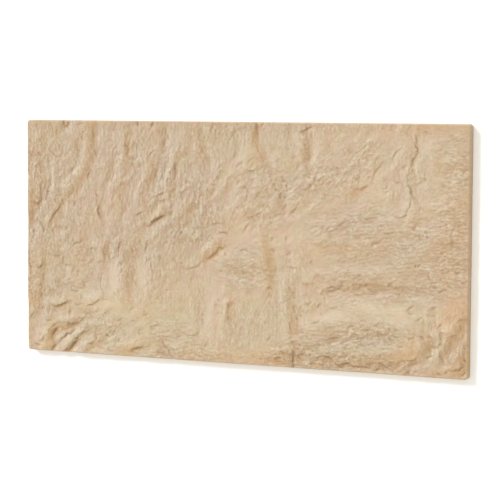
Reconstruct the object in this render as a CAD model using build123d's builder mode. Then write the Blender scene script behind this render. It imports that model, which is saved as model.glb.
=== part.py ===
"""Faux stone wall panel: one moulded slab with a split-rock front and a flat back.

The panel lies on its back. X runs along its length, Y up its height as it hangs on a wall,
and Z out of the wall. The origin is the middle of the back.
"""

import os
from math import cos, exp, radians, sin

from build123d import *

# Slab, in millimetres
PANEL_LENGTH = 1200.0
PANEL_HEIGHT = 600.0
RIM_THICKNESS = 20.0  # from the back to the front at the edges
CORNER_RADIUS = 8.0  # of the outline, seen from the front
FRONT_ROUNDING = 3.0  # where the rock face turns over into the sides
BACK_CHAMFER = 1.0  # trimmed mould flash round the back

# Rock face
SECTION_COUNT = 125  # of the sections across the panel's height, spread evenly along its length
POINT_COUNT = 65  # of the points in each section
TRIM = 20.0  # of the raw moulding that is trimmed off all round, and off its back
RIM_BAND = 25.0  # over which the relief grows from the even rim inwards
SWELL_LIFT = 2.0  # mean level of the rock over the rim

# Broad forms of the rock: centre x and y, half length, half width, angle in degrees from +X
# and height, which is below 0 in a hollow. Left to right across the panel.
ROCK_FORMS = [
    (-592, 190, 90, 16, 88, -1.2),
    (-578, 262, 50, 22, 80, 1.4),
    (-585, 96, 40, 20, 75, 1.7),
    (-576, 60, 44, 14, 66, -1.8),
    (-575, -30, 60, 22, 95, 1.2),
    (-584, -120, 60, 20, 95, 1.4),
    (-562, -170, 60, 16, 80, -1.8),
    (-552, 75, 50, 12, 62, 1.7),
    (-546, 170, 70, 18, 95, -1.4),
    (-530, 46, 44, 13, 52, 1.8),
    (-506, 74, 48, 11, 52, -1.7),
    (-500, -25, 60, 30, 80, 1.2),
    (-512, -166, 50, 16, 14, 1.7),
    (-506, -194, 44, 14, 8, -1.0),
    (-548, -262, 40, 14, 78, 1.8),
    (-522, -262, 46, 13, 76, -3.2),
    (-486, -218, 46, 12, 10, 2.0),
    (-484, -238, 46, 11, 36, -2.8),
    (-468, -292, 40, 12, 40, -3.0),
    (-426, -270, 46, 18, 50, 2.1),
    (-478, 132, 90, 16, 56, 1.8),
    (-440, 140, 90, 14, 58, -1.4),
    (-484, 288, 16, 16, 90, -2.4),
    (-455, 262, 50, 16, 85, 1.2),
    (-424, 255, 60, 12, 88, 1.2),
    (-400, 258, 44, 12, 90, -1.7),
    (-378, 250, 44, 14, 88, 1.0),
    (-432, 182, 44, 14, 80, 1.4),
    (-425, -80, 70, 30, 70, -1.0),
    (-405, -150, 60, 18, 14, 1.4),
    (-390, -188, 60, 12, 8, -1.0),
    (-386, -280, 36, 12, 20, -1.8),
    (-382, -34, 26, 16, 85, 1.7),
    (-362, -38, 24, 14, 85, -1.5),
    (-345, 110, 100, 20, 84, 1.2),
    (-318, 60, 80, 16, 84, -0.9),
    (-322, -86, 60, 19, 88, 2.8),
    (-287, -90, 56, 12, 87, -1.7),
    (-300, -26, 24, 12, 85, 1.2),
    (-246, -85, 60, 24, 88, 1.0),
    (-320, 232, 44, 12, 96, 1.5),
    (-298, 224, 44, 13, 98, -1.6),
    (-262, 142, 80, 18, 78, 1.8),
    (-222, 165, 60, 12, 76, -1.2),
    (-236, 226, 40, 12, 55, -1.2),
    (-240, 56, 36, 12, 36, 1.0),
    (-218, 46, 34, 11, 36, -1.1),
    (-212, -50, 60, 24, 90, 1.0),
    (-198, 262, 40, 15, 94, -2.0),
    (-184, 165, 60, 12, 76, 1.5),
    (-166, 160, 60, 11, 76, -1.1),
    (-150, 230, 60, 20, 80, 1.2),
    (-132, 112, 70, 18, 62, 1.8),
    (-140, 10, 44, 18, 100, -1.0),
    (-190, -200, 80, 30, 10, -0.9),
    (-206, -272, 36, 12, 120, -1.5),
    (-280, -292, 40, 12, 15, -1.7),
    (-300, -262, 50, 12, 15, 1.5),
    (-110, 238, 50, 14, 100, 1.5),
    (-86, 225, 56, 15, 102, -1.6),
    (-75, -12, 46, 12, 42, 1.1),
    (-52, -32, 46, 13, 42, -1.7),
    (-64, -168, 60, 14, 80, 1.4),
    (-30, -150, 60, 14, 86, 1.4),
    (-6, -170, 54, 13, 92, -0.8),
    (-20, 80, 90, 36, 20, 1.4),
    (20, -38, 60, 18, 176, 2.2),
    (14, -70, 60, 12, 174, -0.4),
    (26, 232, 60, 18, 84, 1.5),
    (54, 276, 30, 11, 92, -1.8),
    (78, 206, 66, 14, 112, -1.5),
    (50, 130, 50, 26, 60, 1.2),
    (74, -40, 66, 12, 96, 1.2),
    (96, -52, 70, 12, 98, -1.4),
    (122, 96, 46, 13, 98, -0.9),
    (104, 120, 60, 12, 108, 1.2),
    (142, -92, 50, 18, 70, 1.5),
    (162, -205, 70, 13, 94, -1.2),
    (136, -200, 60, 12, 90, 1.2),
    (172, 236, 50, 12, 90, 1.3),
    (194, 234, 46, 12, 90, -1.2),
    (222, 232, 60, 18, 90, 1.2),
    (130, -284, 50, 14, 0, -1.8),
    (230, 20, 130, 34, 6, 1.4),
    (300, -30, 150, 22, 8, -0.9),
    (330, -60, 140, 16, 4, 0.9),
    (320, -102, 100, 14, 8, -2.4),
    (430, -100, 60, 12, 176, -1.7),
    (310, 152, 60, 22, 25, 1.2),
    (395, 60, 110, 30, 22, 1.2),
    (300, -182, 120, 18, 2, 1.4),
    (440, -184, 60, 16, 172, 1.8),
    (262, -224, 60, 11, 22, -1.5),
    (330, -246, 110, 14, 6, 1.0),
    (300, -282, 150, 15, 178, -2.6),
    (450, -262, 60, 14, 20, -1.8),
    (418, -240, 50, 12, 12, 1.4),
    (500, 190, 80, 30, 80, 1.2),
    (505, 12, 70, 22, 35, 2.0),
    (540, -30, 60, 20, 160, -0.9),
    (520, -140, 60, 24, 150, 1.4),
    (548, -204, 50, 15, 62, 1.8),
    (578, -196, 60, 16, 62, -2.8),
    (502, -236, 40, 16, 50, -1.5),
    (560, -262, 40, 14, 60, 1.4),
    (590, -268, 34, 16, 80, -2.1),
]


def swell(x, y, form):
    """One bell-shaped rise or hollow, stretched along its own direction."""
    centre_x, centre_y, half_length, half_width, angle, height = form
    turn = radians(angle)
    along = (x - centre_x) * cos(turn) + (y - centre_y) * sin(turn)
    across = (y - centre_y) * cos(turn) - (x - centre_x) * sin(turn)
    return height * exp(-((along / half_length) ** 2) - (across / half_width) ** 2)


def rim_share(x, y):
    """Share of the relief: 0 at the sides, so that the rim is even, and 1 inside the rim band."""
    gap = min(PANEL_LENGTH / 2 - abs(x), PANEL_HEIGHT / 2 - abs(y))
    inward = max(gap, 0.0) / RIM_BAND
    return 1 - exp(-(inward**2))


def rock_height(x, y):
    """Height of the rock face over the back."""
    relief = SWELL_LIFT + sum(swell(x, y, form) for form in ROCK_FORMS)
    return RIM_THICKNESS + rim_share(x, y) * relief


def stations(span, count):
    """Evenly spaced places across a span and the trim at both its ends."""
    reach = span + 2 * TRIM
    return [-reach / 2 + reach * i / (count - 1) for i in range(count)]


rows = stations(PANEL_HEIGHT, POINT_COUNT)
row_parameters = [i / (POINT_COUNT - 1) for i in range(POINT_COUNT)]

with BuildPart() as stone_panel:
    # Raw moulding: sections across the panel's height, joined along its length
    for x in stations(PANEL_LENGTH, SECTION_COUNT):
        with BuildSketch(Plane.YZ.offset(x)):
            with BuildLine():
                section = [Vector(y, rock_height(x, y)) for y in rows]
                add(Edge.make_spline(section, parameters=row_parameters))
                Polyline(section[0], (rows[0], -TRIM), (rows[-1], -TRIM), section[-1])
            make_face()
    loft()

    # Trimmed square to its outline and flat at the back
    with BuildSketch(Plane.XY):
        RectangleRounded(PANEL_LENGTH, PANEL_HEIGHT, CORNER_RADIUS)
    extrude(amount=2 * RIM_THICKNESS, mode=Mode.INTERSECT)
    chamfer(stone_panel.faces().sort_by(Axis.Z)[0].edges(), BACK_CHAMFER)
    fillet(stone_panel.faces().sort_by(Axis.Z)[-1].edges(), FRONT_ROUNDING)

stone_panel.part.label = "stone_panel"

os.makedirs("parts", exist_ok=True)
export_step(stone_panel.part, "parts/stone_panel.step")
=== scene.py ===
from math import radians

import bpy
import numpy as np
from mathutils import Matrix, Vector


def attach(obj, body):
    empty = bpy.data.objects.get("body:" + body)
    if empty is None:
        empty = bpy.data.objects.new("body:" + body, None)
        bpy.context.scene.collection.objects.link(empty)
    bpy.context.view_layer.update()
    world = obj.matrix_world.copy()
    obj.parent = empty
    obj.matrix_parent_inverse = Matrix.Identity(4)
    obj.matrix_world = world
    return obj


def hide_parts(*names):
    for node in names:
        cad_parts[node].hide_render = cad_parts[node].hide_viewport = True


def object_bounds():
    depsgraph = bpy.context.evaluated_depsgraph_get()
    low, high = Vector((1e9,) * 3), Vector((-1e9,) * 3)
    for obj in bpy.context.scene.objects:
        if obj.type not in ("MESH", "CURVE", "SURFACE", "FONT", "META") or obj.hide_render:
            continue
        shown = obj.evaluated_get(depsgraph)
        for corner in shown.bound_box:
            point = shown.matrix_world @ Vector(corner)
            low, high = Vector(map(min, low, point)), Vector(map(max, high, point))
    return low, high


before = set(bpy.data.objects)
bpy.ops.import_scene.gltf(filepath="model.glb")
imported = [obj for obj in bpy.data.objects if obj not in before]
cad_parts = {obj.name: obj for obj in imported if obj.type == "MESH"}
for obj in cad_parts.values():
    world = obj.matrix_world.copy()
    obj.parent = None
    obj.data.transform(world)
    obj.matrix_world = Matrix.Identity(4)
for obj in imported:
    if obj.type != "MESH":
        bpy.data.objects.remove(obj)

CAD_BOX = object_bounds()
NODE = "stone_panel"
PIECE = "rock_panel"
MM = 0.001

# Faux stone wall panel. It lies on its back: X runs along its length, Y up its height as it hangs
# on a wall and Z out of the wall. Lengths are in millimetres up to the finished mesh.

# Slab
PANEL_LENGTH = round((CAD_BOX[1].x - CAD_BOX[0].x) / MM, 3)
PANEL_HEIGHT = round((CAD_BOX[1].y - CAD_BOX[0].y) / MM, 3)
RIM_THICKNESS = 20.0  # from the back to the front at the edges
CORNER_RADIUS = 8.0  # of the outline, seen from the front
FRONT_ROUNDING = 3.0  # where the rock face turns over into the sides
BACK_CHAMFER = 1.0  # round the back
RIM_BAND = 25.0  # over which the relief comes to its full height from the edges inwards
RIM_RELIEF = 0.85  # share of the relief that is left at the edges themselves
SWELL_LIFT = 2.0  # mean level of the rock over the rim
TOP_MARGIN = 0.4  # how far fine relief may stand over the solid's highest point

# Broad forms of the rock: centre x and y, half length, half width, angle in degrees from +X
# and height, which is below 0 in a hollow. Left to right across the panel.
ROCK_FORMS = [
    (-592, 190, 90, 16, 88, -1.2),
    (-578, 262, 50, 22, 80, 1.4),
    (-585, 96, 40, 20, 75, 1.7),
    (-576, 60, 44, 14, 66, -1.8),
    (-575, -30, 60, 22, 95, 1.2),
    (-584, -120, 60, 20, 95, 1.4),
    (-562, -170, 60, 16, 80, -1.8),
    (-552, 75, 50, 12, 62, 1.7),
    (-522, 152, 56, 8, 94, 2.0),
    (-546, 170, 70, 18, 95, -1.4),
    (-530, 46, 44, 13, 52, 1.8),
    (-506, 74, 48, 11, 52, -1.7),
    (-500, -25, 60, 30, 80, 1.2),
    (-512, -166, 50, 16, 14, 1.7),
    (-506, -194, 44, 14, 8, -1.0),
    (-548, -262, 40, 14, 78, 1.8),
    (-522, -262, 46, 13, 76, -3.2),
    (-486, -218, 46, 12, 10, 2.0),
    (-484, -238, 46, 11, 36, -2.8),
    (-470, -266, 46, 10, 46, 2.2),
    (-468, -292, 40, 12, 40, -3.0),
    (-426, -270, 46, 18, 50, 2.1),
    (-478, 132, 90, 16, 56, 1.8),
    (-440, 140, 90, 14, 58, -1.4),
    (-484, 288, 16, 16, 90, -2.4),
    (-455, 262, 50, 16, 85, 1.2),
    (-424, 255, 60, 12, 88, 1.2),
    (-400, 258, 44, 12, 90, -1.7),
    (-378, 250, 44, 14, 88, 1.0),
    (-432, 182, 44, 14, 80, 1.4),
    (-396, 70, 40, 10, 108, 1.4),
    (-380, 64, 34, 9, 108, -1.7),
    (-425, -80, 70, 30, 70, -1.0),
    (-405, -150, 60, 18, 14, 1.4),
    (-390, -188, 60, 12, 8, -1.0),
    (-386, -280, 36, 12, 20, -1.8),
    (-382, -34, 26, 16, 85, 1.7),
    (-362, -38, 24, 14, 85, -1.5),
    (-345, 110, 100, 20, 84, 1.2),
    (-318, 60, 80, 16, 84, -0.9),
    (-322, -86, 60, 19, 88, 2.8),
    (-287, -90, 56, 12, 87, -1.7),
    (-300, -26, 24, 12, 85, 1.2),
    (-246, -85, 60, 24, 88, 1.0),
    (-320, 232, 44, 12, 96, 1.5),
    (-298, 224, 44, 13, 98, -1.6),
    (-262, 142, 80, 18, 78, 1.8),
    (-222, 165, 60, 12, 76, -1.2),
    (-236, 226, 40, 12, 55, -1.2),
    (-240, 56, 36, 12, 36, 1.0),
    (-218, 46, 34, 11, 36, -1.1),
    (-212, -50, 60, 24, 90, 1.0),
    (-198, 262, 40, 15, 94, -2.0),
    (-184, 165, 60, 12, 76, 1.5),
    (-166, 160, 60, 11, 76, -1.1),
    (-150, 230, 60, 20, 80, 1.2),
    (-132, 112, 70, 18, 62, 1.8),
    (-140, 10, 44, 18, 100, -1.0),
    (-190, -200, 80, 30, 10, -0.9),
    (-206, -272, 36, 12, 120, -1.5),
    (-280, -292, 40, 12, 15, -1.7),
    (-300, -262, 50, 12, 15, 1.5),
    (-110, 238, 50, 14, 100, 1.5),
    (-86, 225, 56, 15, 102, -1.6),
    (-75, -12, 46, 12, 42, 1.1),
    (-52, -32, 46, 13, 42, -1.7),
    (-104, -180, 50, 9, 88, -0.8),
    (-64, -168, 60, 14, 80, 1.4),
    (-30, -150, 60, 14, 86, 1.4),
    (-6, -170, 54, 13, 92, -0.8),
    (-20, 80, 90, 36, 20, 1.4),
    (20, -38, 60, 18, 176, 2.2),
    (14, -70, 60, 12, 174, -0.4),
    (26, 232, 60, 18, 84, 1.5),
    (54, 276, 30, 11, 92, -1.8),
    (78, 206, 66, 14, 112, -1.5),
    (50, 130, 50, 26, 60, 1.2),
    (74, -40, 66, 12, 96, 1.2),
    (96, -52, 70, 12, 98, -1.4),
    (122, 96, 46, 13, 98, -0.9),
    (104, 120, 60, 12, 108, 1.2),
    (142, -92, 50, 18, 70, 0.9),
    (162, -205, 70, 13, 94, -0.6),
    (136, -200, 60, 12, 90, 0.5),
    (172, 236, 50, 12, 90, 1.3),
    (194, 234, 46, 12, 90, -1.2),
    (222, 232, 60, 18, 90, 1.2),
    (130, -284, 50, 14, 0, -1.8),
    (230, 20, 130, 34, 6, 1.4),
    (300, -30, 150, 22, 8, -0.9),
    (330, -60, 140, 16, 4, 0.9),
    (320, -102, 100, 14, 8, -2.4),
    (430, -100, 60, 12, 176, -1.7),
    (310, 152, 60, 22, 25, 1.2),
    (318, 134, 26, 10, 20, -1.2),
    (395, 60, 110, 30, 22, 1.2),
    (300, -182, 120, 18, 2, 1.4),
    (440, -184, 60, 16, 172, 1.8),
    (262, -224, 60, 11, 22, -1.5),
    (350, -212, 60, 10, 10, -1.2),
    (330, -246, 110, 14, 6, 1.0),
    (300, -282, 150, 15, 178, -2.6),
    (450, -262, 60, 14, 20, -1.8),
    (418, -240, 50, 12, 12, 1.4),
    (440, 190, 90, 10, 96, 0.9),
    (461, 190, 90, 9, 96, -1.2),
    (500, 190, 80, 30, 80, 1.2),
    (505, 12, 70, 22, 35, 2.0),
    (540, -30, 60, 20, 160, -0.9),
    (520, -140, 60, 24, 150, 1.4),
    (548, -204, 50, 15, 62, 1.8),
    (578, -196, 60, 16, 62, -2.8),
    (502, -236, 40, 16, 50, -1.5),
    (560, -262, 40, 14, 60, 1.4),
    (590, -268, 34, 16, 80, -2.1),
]

# Creases: depth, half width and points. Each runs along its points; the rock on its upper left
# stands higher, as the face broke away towards the lower right.
CREASES = [
    # Top left
    (0.9, 3.0, [(-574, 283), (-570, 287), (-564, 292)]),
    (1.0, 2.6, [(-579, 273), (-578, 265)]),
    (1.3, 2.6, [(-555, 269), (-555, 262), (-554, 255)]),
    (0.9, 2.6, [(-559, 250), (-558, 244), (-556, 236)]),
    (1.0, 2.8, [(-591, 252), (-589, 242)]),
    (1.4, 3.2, [(-594, 222), (-590, 210), (-585, 202)]),
    (1.1, 2.8, [(-584, 220), (-580, 212), (-577, 203)]),
    (2.4, 4.0, [(-490, 300), (-491, 292), (-485, 283)]),
    (2.2, 3.6, [(-486, 282), (-480, 289), (-472, 299)]),
    (0.8, 2.6, [(-533, 294), (-532, 284)]),
    (0.7, 2.8, [(-525, 290), (-524, 276), (-523, 262)]),
    (0.8, 3.4, [(-512, 284), (-511, 272), (-508, 262)]),
    (0.8, 3.0, [(-505, 293), (-503, 281)]),
    (1.7, 2.8, [(-533, 225), (-527, 217), (-519, 211), (-504, 207), (-496, 207)]),
    (1.2, 2.8, [(-534, 198), (-536, 188)]),
    (0.9, 2.8, [(-519, 112), (-510, 108), (-500, 108), (-491, 111)]),
    (1.2, 3.0, [(-454, 191), (-458, 181), (-467, 173), (-479, 160)]),
    (0.8, 3.6, [(-468, 146), (-474, 138), (-486, 136)]),
    (2.2, 3.0, [(-414, 170), (-416, 162), (-420, 155)]),
    (0.9, 2.6, [(-425, 179), (-421, 169)]),
    (1.0, 3.6, [(-435, 268), (-436, 256), (-436, 244)]),
    (1.3, 4.4, [(-404, 284), (-403, 266), (-403, 244)]),
    (1.1, 3.0, [(-413, 256), (-412, 247)]),
    (0.9, 2.6, [(-410, 239), (-409, 230)]),
    (0.9, 2.6, [(-436, 235), (-435, 226)]),
    (1.1, 2.8, [(-448, 228), (-447, 217)]),
    (0.8, 2.6, [(-451, 214), (-449, 206), (-448, 198)]),
    (1.1, 3.2, [(-396, 224), (-396, 214), (-395, 203)]),
    (1.6, 2.8, [(-590, 87), (-584, 88)]),
    (2.6, 3.4, [(-580, 86), (-571, 84), (-562, 88), (-556, 95)]),
    (1.6, 2.6, [(-558, 90), (-558, 106), (-559, 124)]),
    (2.4, 3.2, [(-552, 91), (-544, 93), (-540, 103), (-537, 113), (-535, 125)]),
    (1.7, 2.8, [(-567, 79), (-566, 73), (-563, 69)]),
    (1.2, 2.8, [(-573, 62), (-572, 50)]),
    (1.5, 2.8, [(-569, 46), (-568, 39)]),
    (1.9, 2.8, [(-563, 42), (-557, 31), (-551, 19), (-549, 7)]),
    (1.8, 3.2, [(-583, 12), (-579, 5)]),
    (2.4, 3.4, [(-532, 34), (-528, 44), (-520, 56), (-510, 67), (-498, 80)]),
    (1.3, 3.0, [(-494, 97), (-492, 88), (-489, 78)]),
    (1.4, 2.8, [(-516, 97), (-517, 84)]),
    (0.9, 2.8, [(-534, 81), (-536, 68)]),
    (0.9, 2.8, [(-476, 98), (-472, 107), (-466, 115)]),
    (1.3, 3.0, [(-463, 79), (-459, 86), (-455, 93)]),
    (1.0, 2.8, [(-443, 90), (-441, 96), (-437, 101)]),
    (2.2, 3.0, [(-384, 80), (-389, 72), (-387, 61), (-380, 47)]),
    (1.1, 2.6, [(-396, 115), (-390, 103)]),
    (1.3, 2.6, [(-325, 114), (-325, 95)]),
    (1.0, 2.6, [(-338, 127), (-338, 109)]),
    (0.9, 2.6, [(-350, 127), (-351, 109)]),
    (1.0, 2.8, [(-323, 223), (-327, 211), (-325, 198)]),
    (0.9, 2.8, [(-321, 246), (-315, 234), (-309, 224)]),
    (1.3, 4.0, [(-312, 240), (-306, 234), (-302, 226)]),
    (1.0, 2.8, [(-346, 166), (-344, 157)]),
    (0.8, 2.6, [(-404, 60), (-402, 38)]),
    (0.8, 2.8, [(-331, 134), (-320, 139), (-306, 137)]),
    (1.1, 2.6, [(-347, 14), (-343, 8), (-345, 2)]),
    (1.0, 2.6, [(-336, 10), (-331, 4)]),
    (1.1, 3.0, [(-474, 8), (-479, -2)]),
    (1.0, 2.8, [(-489, 14), (-482, 24)]),
    # Top middle
    (2.0, 3.2, [(-277, 299), (-276, 292), (-275, 285)]),
    (2.2, 3.8, [(-238, 283), (-236, 289), (-230, 297)]),
    (1.0, 4.4, [(-218, 282), (-216, 274), (-213, 268)]),
    (1.0, 3.2, [(-198, 286), (-199, 268), (-200, 256)]),
    (1.5, 3.4, [(-199, 257), (-201, 248), (-203, 232)]),
    (1.0, 2.8, [(-189, 264), (-192, 254)]),
    (1.9, 2.8, [(-242, 210), (-236, 218), (-226, 227)]),
    (1.7, 2.8, [(-271, 193), (-271, 181)]),
    (0.8, 3.2, [(-285, 182), (-279, 173), (-274, 166)]),
    (1.9, 2.8, [(-225, 179), (-224, 166), (-226, 153)]),
    (1.0, 3.4, [(-200, 193), (-199, 181), (-198, 170)]),
    (1.4, 2.6, [(-180, 179), (-180, 170), (-181, 158)]),
    (1.3, 2.6, [(-188, 158), (-190, 150), (-191, 141)]),
    (1.9, 2.8, [(-169, 197), (-169, 186), (-168, 172), (-170, 160)]),
    (1.2, 2.8, [(-168, 162), (-175, 153), (-184, 141)]),
    (0.9, 3.6, [(-131, 192), (-130, 180), (-130, 170)]),
    (0.8, 2.8, [(-157, 121), (-145, 124), (-136, 131), (-127, 142)]),
    (0.9, 2.8, [(-155, 122), (-150, 112), (-149, 103)]),
    (1.6, 2.8, [(-229, 109), (-223, 112)]),
    (1.3, 2.6, [(-222, 111), (-208, 117), (-196, 120), (-189, 126)]),
    (0.9, 2.4, [(-222, 100), (-206, 100), (-191, 101)]),
    (1.9, 2.8, [(-284, 59), (-274, 65), (-262, 70)]),
    (2.8, 4.6, [(-249, 33), (-236, 39), (-226, 49), (-215, 57), (-204, 61), (-193, 66)]),
    (2.0, 3.0, [(-232, 42), (-222, 52), (-210, 59)]),
    (0.9, 2.6, [(-260, 42), (-246, 41)]),
    (1.0, 3.0, [(-132, 77), (-125, 82), (-118, 89)]),
    (1.0, 2.6, [(-90, 87), (-88, 76), (-88, 63)]),
    (0.7, 2.4, [(-104, 102), (-105, 90), (-104, 78)]),
    (0.7, 2.4, [(-118, 72), (-117, 58)]),
    (0.8, 2.4, [(-111, 66), (-108, 52)]),
    (0.8, 2.4, [(-97, 70), (-95, 56)]),
    (1.1, 2.4, [(-76, 47), (-60, 46), (-46, 49), (-34, 47)]),
    (1.0, 2.4, [(-31, 57), (-31, 43)]),
    (0.8, 2.4, [(-120, 36), (-100, 35), (-78, 38)]),
    (2.0, 2.8, [(-50, 22), (-38, 25), (-28, 24), (-21, 21)]),
    (1.3, 3.0, [(-158, 17), (-151, 24), (-145, 22)]),
    (1.1, 2.8, [(-138, 16), (-133, 7)]),
    (1.9, 3.0, [(-127, 2), (-122, -3)]),
    (0.8, 2.6, [(-182, 19), (-170, 25)]),
    (1.3, 3.6, [(-97, 238), (-94, 229), (-89, 220)]),
    (1.1, 3.6, [(-66, 297), (-67, 284), (-74, 268)]),
    (1.4, 6.0, [(-2, 280), (-9, 270), (-16, 258)]),
    (1.1, 2.8, [(-48, 192), (-46, 181), (-43, 169)]),
    (1.1, 2.8, [(-3, 223), (-4, 209)]),
    (0.9, 2.6, [(-77, 6), (-73, 20)]),
    (0.8, 2.6, [(-63, 3), (-66, 17)]),
    # Top right of the middle
    (2.0, 4.8, [(52, 300), (54, 286), (56, 266)]),
    (0.9, 4.6, [(47, 270), (45, 258), (49, 248)]),
    (0.9, 2.6, [(51, 252), (57, 236), (65, 221), (72, 208)]),
    (1.1, 3.2, [(66, 290), (74, 298)]),
    (2.4, 4.4, [(170, 273), (179, 279), (190, 285), (203, 290)]),
    (1.0, 3.6, [(178, 272), (188, 270)]),
    (0.9, 2.4, [(180, 247), (190, 247)]),
    (1.2, 3.6, [(188, 227), (193, 220), (198, 209)]),
    (1.0, 3.0, [(180, 222), (184, 214), (191, 209)]),
    (1.1, 2.8, [(149, 211), (156, 216), (161, 219)]),
    (1.0, 3.2, [(158, 186), (164, 193), (168, 202)]),
    (1.1, 2.8, [(183, 197), (187, 191), (193, 184)]),
    (1.3, 2.8, [(-3, 190), (5, 194), (20, 200)]),
    (1.0, 3.4, [(31, 199), (39, 208), (50, 214)]),
    (1.7, 3.2, [(36, 176), (43, 180), (50, 182)]),
    (1.0, 3.6, [(50, 182), (58, 186), (64, 190)]),
    (1.1, 3.4, [(75, 183), (80, 178), (88, 176)]),
    (1.1, 3.2, [(90, 170), (94, 162), (95, 152)]),
    (1.2, 3.0, [(1, 149), (9, 156)]),
    (1.2, 5.0, [(20, 141), (28, 136), (33, 128)]),
    (1.3, 3.2, [(33, 130), (32, 118), (26, 106)]),
    (1.4, 2.8, [(126, 158), (134, 155), (142, 151)]),
    (1.3, 2.8, [(133, 151), (136, 141), (136, 130)]),
    (1.3, 3.0, [(104, 137), (110, 134), (115, 130)]),
    (1.9, 2.8, [(119, 127), (120, 117), (124, 108)]),
    (1.2, 2.6, [(132, 123), (132, 114)]),
    (1.1, 3.2, [(133, 112), (131, 96), (129, 78)]),
    (1.3, 3.4, [(131, 79), (119, 74), (104, 71)]),
    (1.2, 2.6, [(146, 79), (154, 85), (164, 93)]),
    (2.0, 3.0, [(198, 153), (198, 144)]),
    (1.2, 3.0, [(194, 145), (189, 140), (184, 138)]),
    (0.8, 2.4, [(163, 151), (163, 132)]),
    (0.6, 2.4, [(170, 150), (170, 134)]),
    (1.1, 2.6, [(188, 169), (204, 166), (219, 161), (233, 167)]),
    (1.3, 2.6, [(283, 175), (290, 179), (300, 182)]),
    (0.9, 2.6, [(268, 173), (271, 179), (276, 184)]),
    (0.9, 2.6, [(264, 190), (274, 191)]),
    (1.0, 2.8, [(233, 126), (242, 126)]),
    (0.8, 2.6, [(263, 124), (277, 122)]),
    (1.6, 3.4, [(1, 88), (7, 92)]),
    (2.0, 3.0, [(52, 72), (58, 75), (66, 77)]),
    (1.3, 2.8, [(47, 72), (42, 66), (30, 65)]),
    (1.0, 2.8, [(50, 64), (53, 54)]),
    (1.1, 3.0, [(34, 54), (29, 43), (18, 28)]),
    (1.0, 2.8, [(125, 66), (130, 60), (136, 54)]),
    (1.1, 3.0, [(91, 53), (98, 60)]),
    (1.3, 2.6, [(229, 43), (239, 42), (248, 50)]),
    (1.1, 3.6, [(267, 42), (275, 54), (284, 61)]),
    (1.1, 2.6, [(280, 60), (290, 64), (303, 68)]),
    (1.3, 2.6, [(284, 50), (303, 50)]),
    (1.5, 2.8, [(135, 24), (134, 11)]),
    (1.0, 3.2, [(76, 21), (88, 20)]),
    (1.1, 2.8, [(93, 14), (103, 16)]),
    (1.0, 3.0, [(203, 90), (213, 97), (222, 108)]),
    (1.0, 2.8, [(246, 3), (254, 4)]),
    (0.9, 2.8, [(273, 14), (281, 14)]),
    # Main crack at the right and its branch
    (1.9, 2.6, [(467, 273), (468, 262), (472, 250)]),
    (2.9, 3.2, [(464, 253), (467, 244), (471, 234), (469, 226)]),
    (1.8, 2.8, [(466, 230), (467, 222), (461, 214), (457, 205), (453, 194), (451, 184)]),
    (1.5, 2.6, [(451, 188), (448, 175), (446, 163), (448, 154)]),
    (2.6, 2.8, [(447, 157), (452, 146), (457, 136), (460, 127), (465, 123)]),
    (1.4, 2.8, [(458, 128), (455, 116), (453, 105), (448, 95), (444, 84)]),
    (1.7, 3.0, [(445, 86), (441, 80), (437, 79)]),
    (1.7, 2.6, [(441, 79), (430, 77), (416, 78)]),
    (1.4, 2.8, [(436, 253), (428, 240), (419, 231), (411, 221), (403, 215)]),
    (1.3, 2.8, [(387, 214), (380, 201), (371, 192), (364, 184), (361, 172), (360, 162)]),
    (0.9, 2.6, [(376, 224), (368, 214), (359, 200)]),
    (1.5, 2.6, [(317, 174), (321, 170)]),
    (1.7, 2.6, [(312, 166), (318, 165), (323, 161)]),
    (1.3, 2.4, [(325, 178), (325, 166), (324, 156)]),
    (1.0, 2.4, [(306, 158), (308, 154)]),
    (1.5, 3.0, [(325, 141), (335, 144), (347, 150)]),
    (0.9, 4.2, [(305, 131), (314, 139), (328, 143)]),
    (1.2, 2.8, [(382, 145), (392, 147), (400, 152)]),
    (1.0, 2.8, [(387, 129), (397, 139)]),
    (0.9, 2.6, [(409, 164), (420, 161), (431, 158)]),
    (0.9, 2.8, [(387, 163), (393, 168)]),
    (1.1, 2.4, [(429, 194), (439, 199), (449, 207)]),
    (1.1, 2.8, [(476, 172), (484, 170), (497, 169)]),
    (1.1, 2.4, [(465, 157), (475, 159), (487, 164)]),
    (1.2, 2.6, [(571, 160), (582, 167), (592, 171), (601, 172)]),
    (1.2, 3.0, [(583, 188), (597, 193)]),
    (0.9, 2.8, [(533, 158), (543, 149)]),
    (1.2, 2.4, [(336, 72), (347, 72), (360, 74)]),
    (1.4, 3.2, [(302, 60), (310, 63), (321, 58)]),
    (1.7, 2.8, [(459, 49), (464, 53), (469, 57)]),
    (0.9, 3.6, [(388, 38), (402, 38), (415, 38)]),
    (0.8, 3.0, [(378, 56), (391, 57)]),
    (1.0, 4.4, [(473, 36), (480, 31), (487, 26)]),
    (0.9, 3.0, [(497, 42), (498, 28)]),
    (1.2, 2.4, [(559, 31), (559, 10)]),
    (1.2, 2.8, [(573, 77), (578, 71), (587, 70)]),
    (0.9, 2.4, [(540, 67), (546, 58), (547, 43)]),
    (1.2, 2.8, [(356, 9), (366, 13), (377, 18)]),
    (1.1, 2.8, [(461, 12), (468, 2)]),
    (0.8, 2.6, [(392, 5), (398, 4)]),
    (0.8, 2.4, [(547, 102), (553, 105), (567, 104)]),
    (0.7, 2.4, [(550, 86), (558, 78), (564, 70)]),
    (0.8, 3.2, [(481, 102), (492, 92)]),
    (0.7, 2.8, [(474, 75), (492, 76), (512, 74)]),
    (1.0, 3.2, [(471, 290), (476, 280), (482, 276)]),
    (0.8, 2.6, [(484, 280), (493, 279), (503, 275)]),
    # Bottom left
    (3.2, 3.8, [(-527, -183), (-513, -182), (-500, -180), (-490, -175), (-484, -172), (-475, -168)]),
    (1.0, 2.4, [(-458, -174), (-445, -174), (-432, -171)]),
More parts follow.
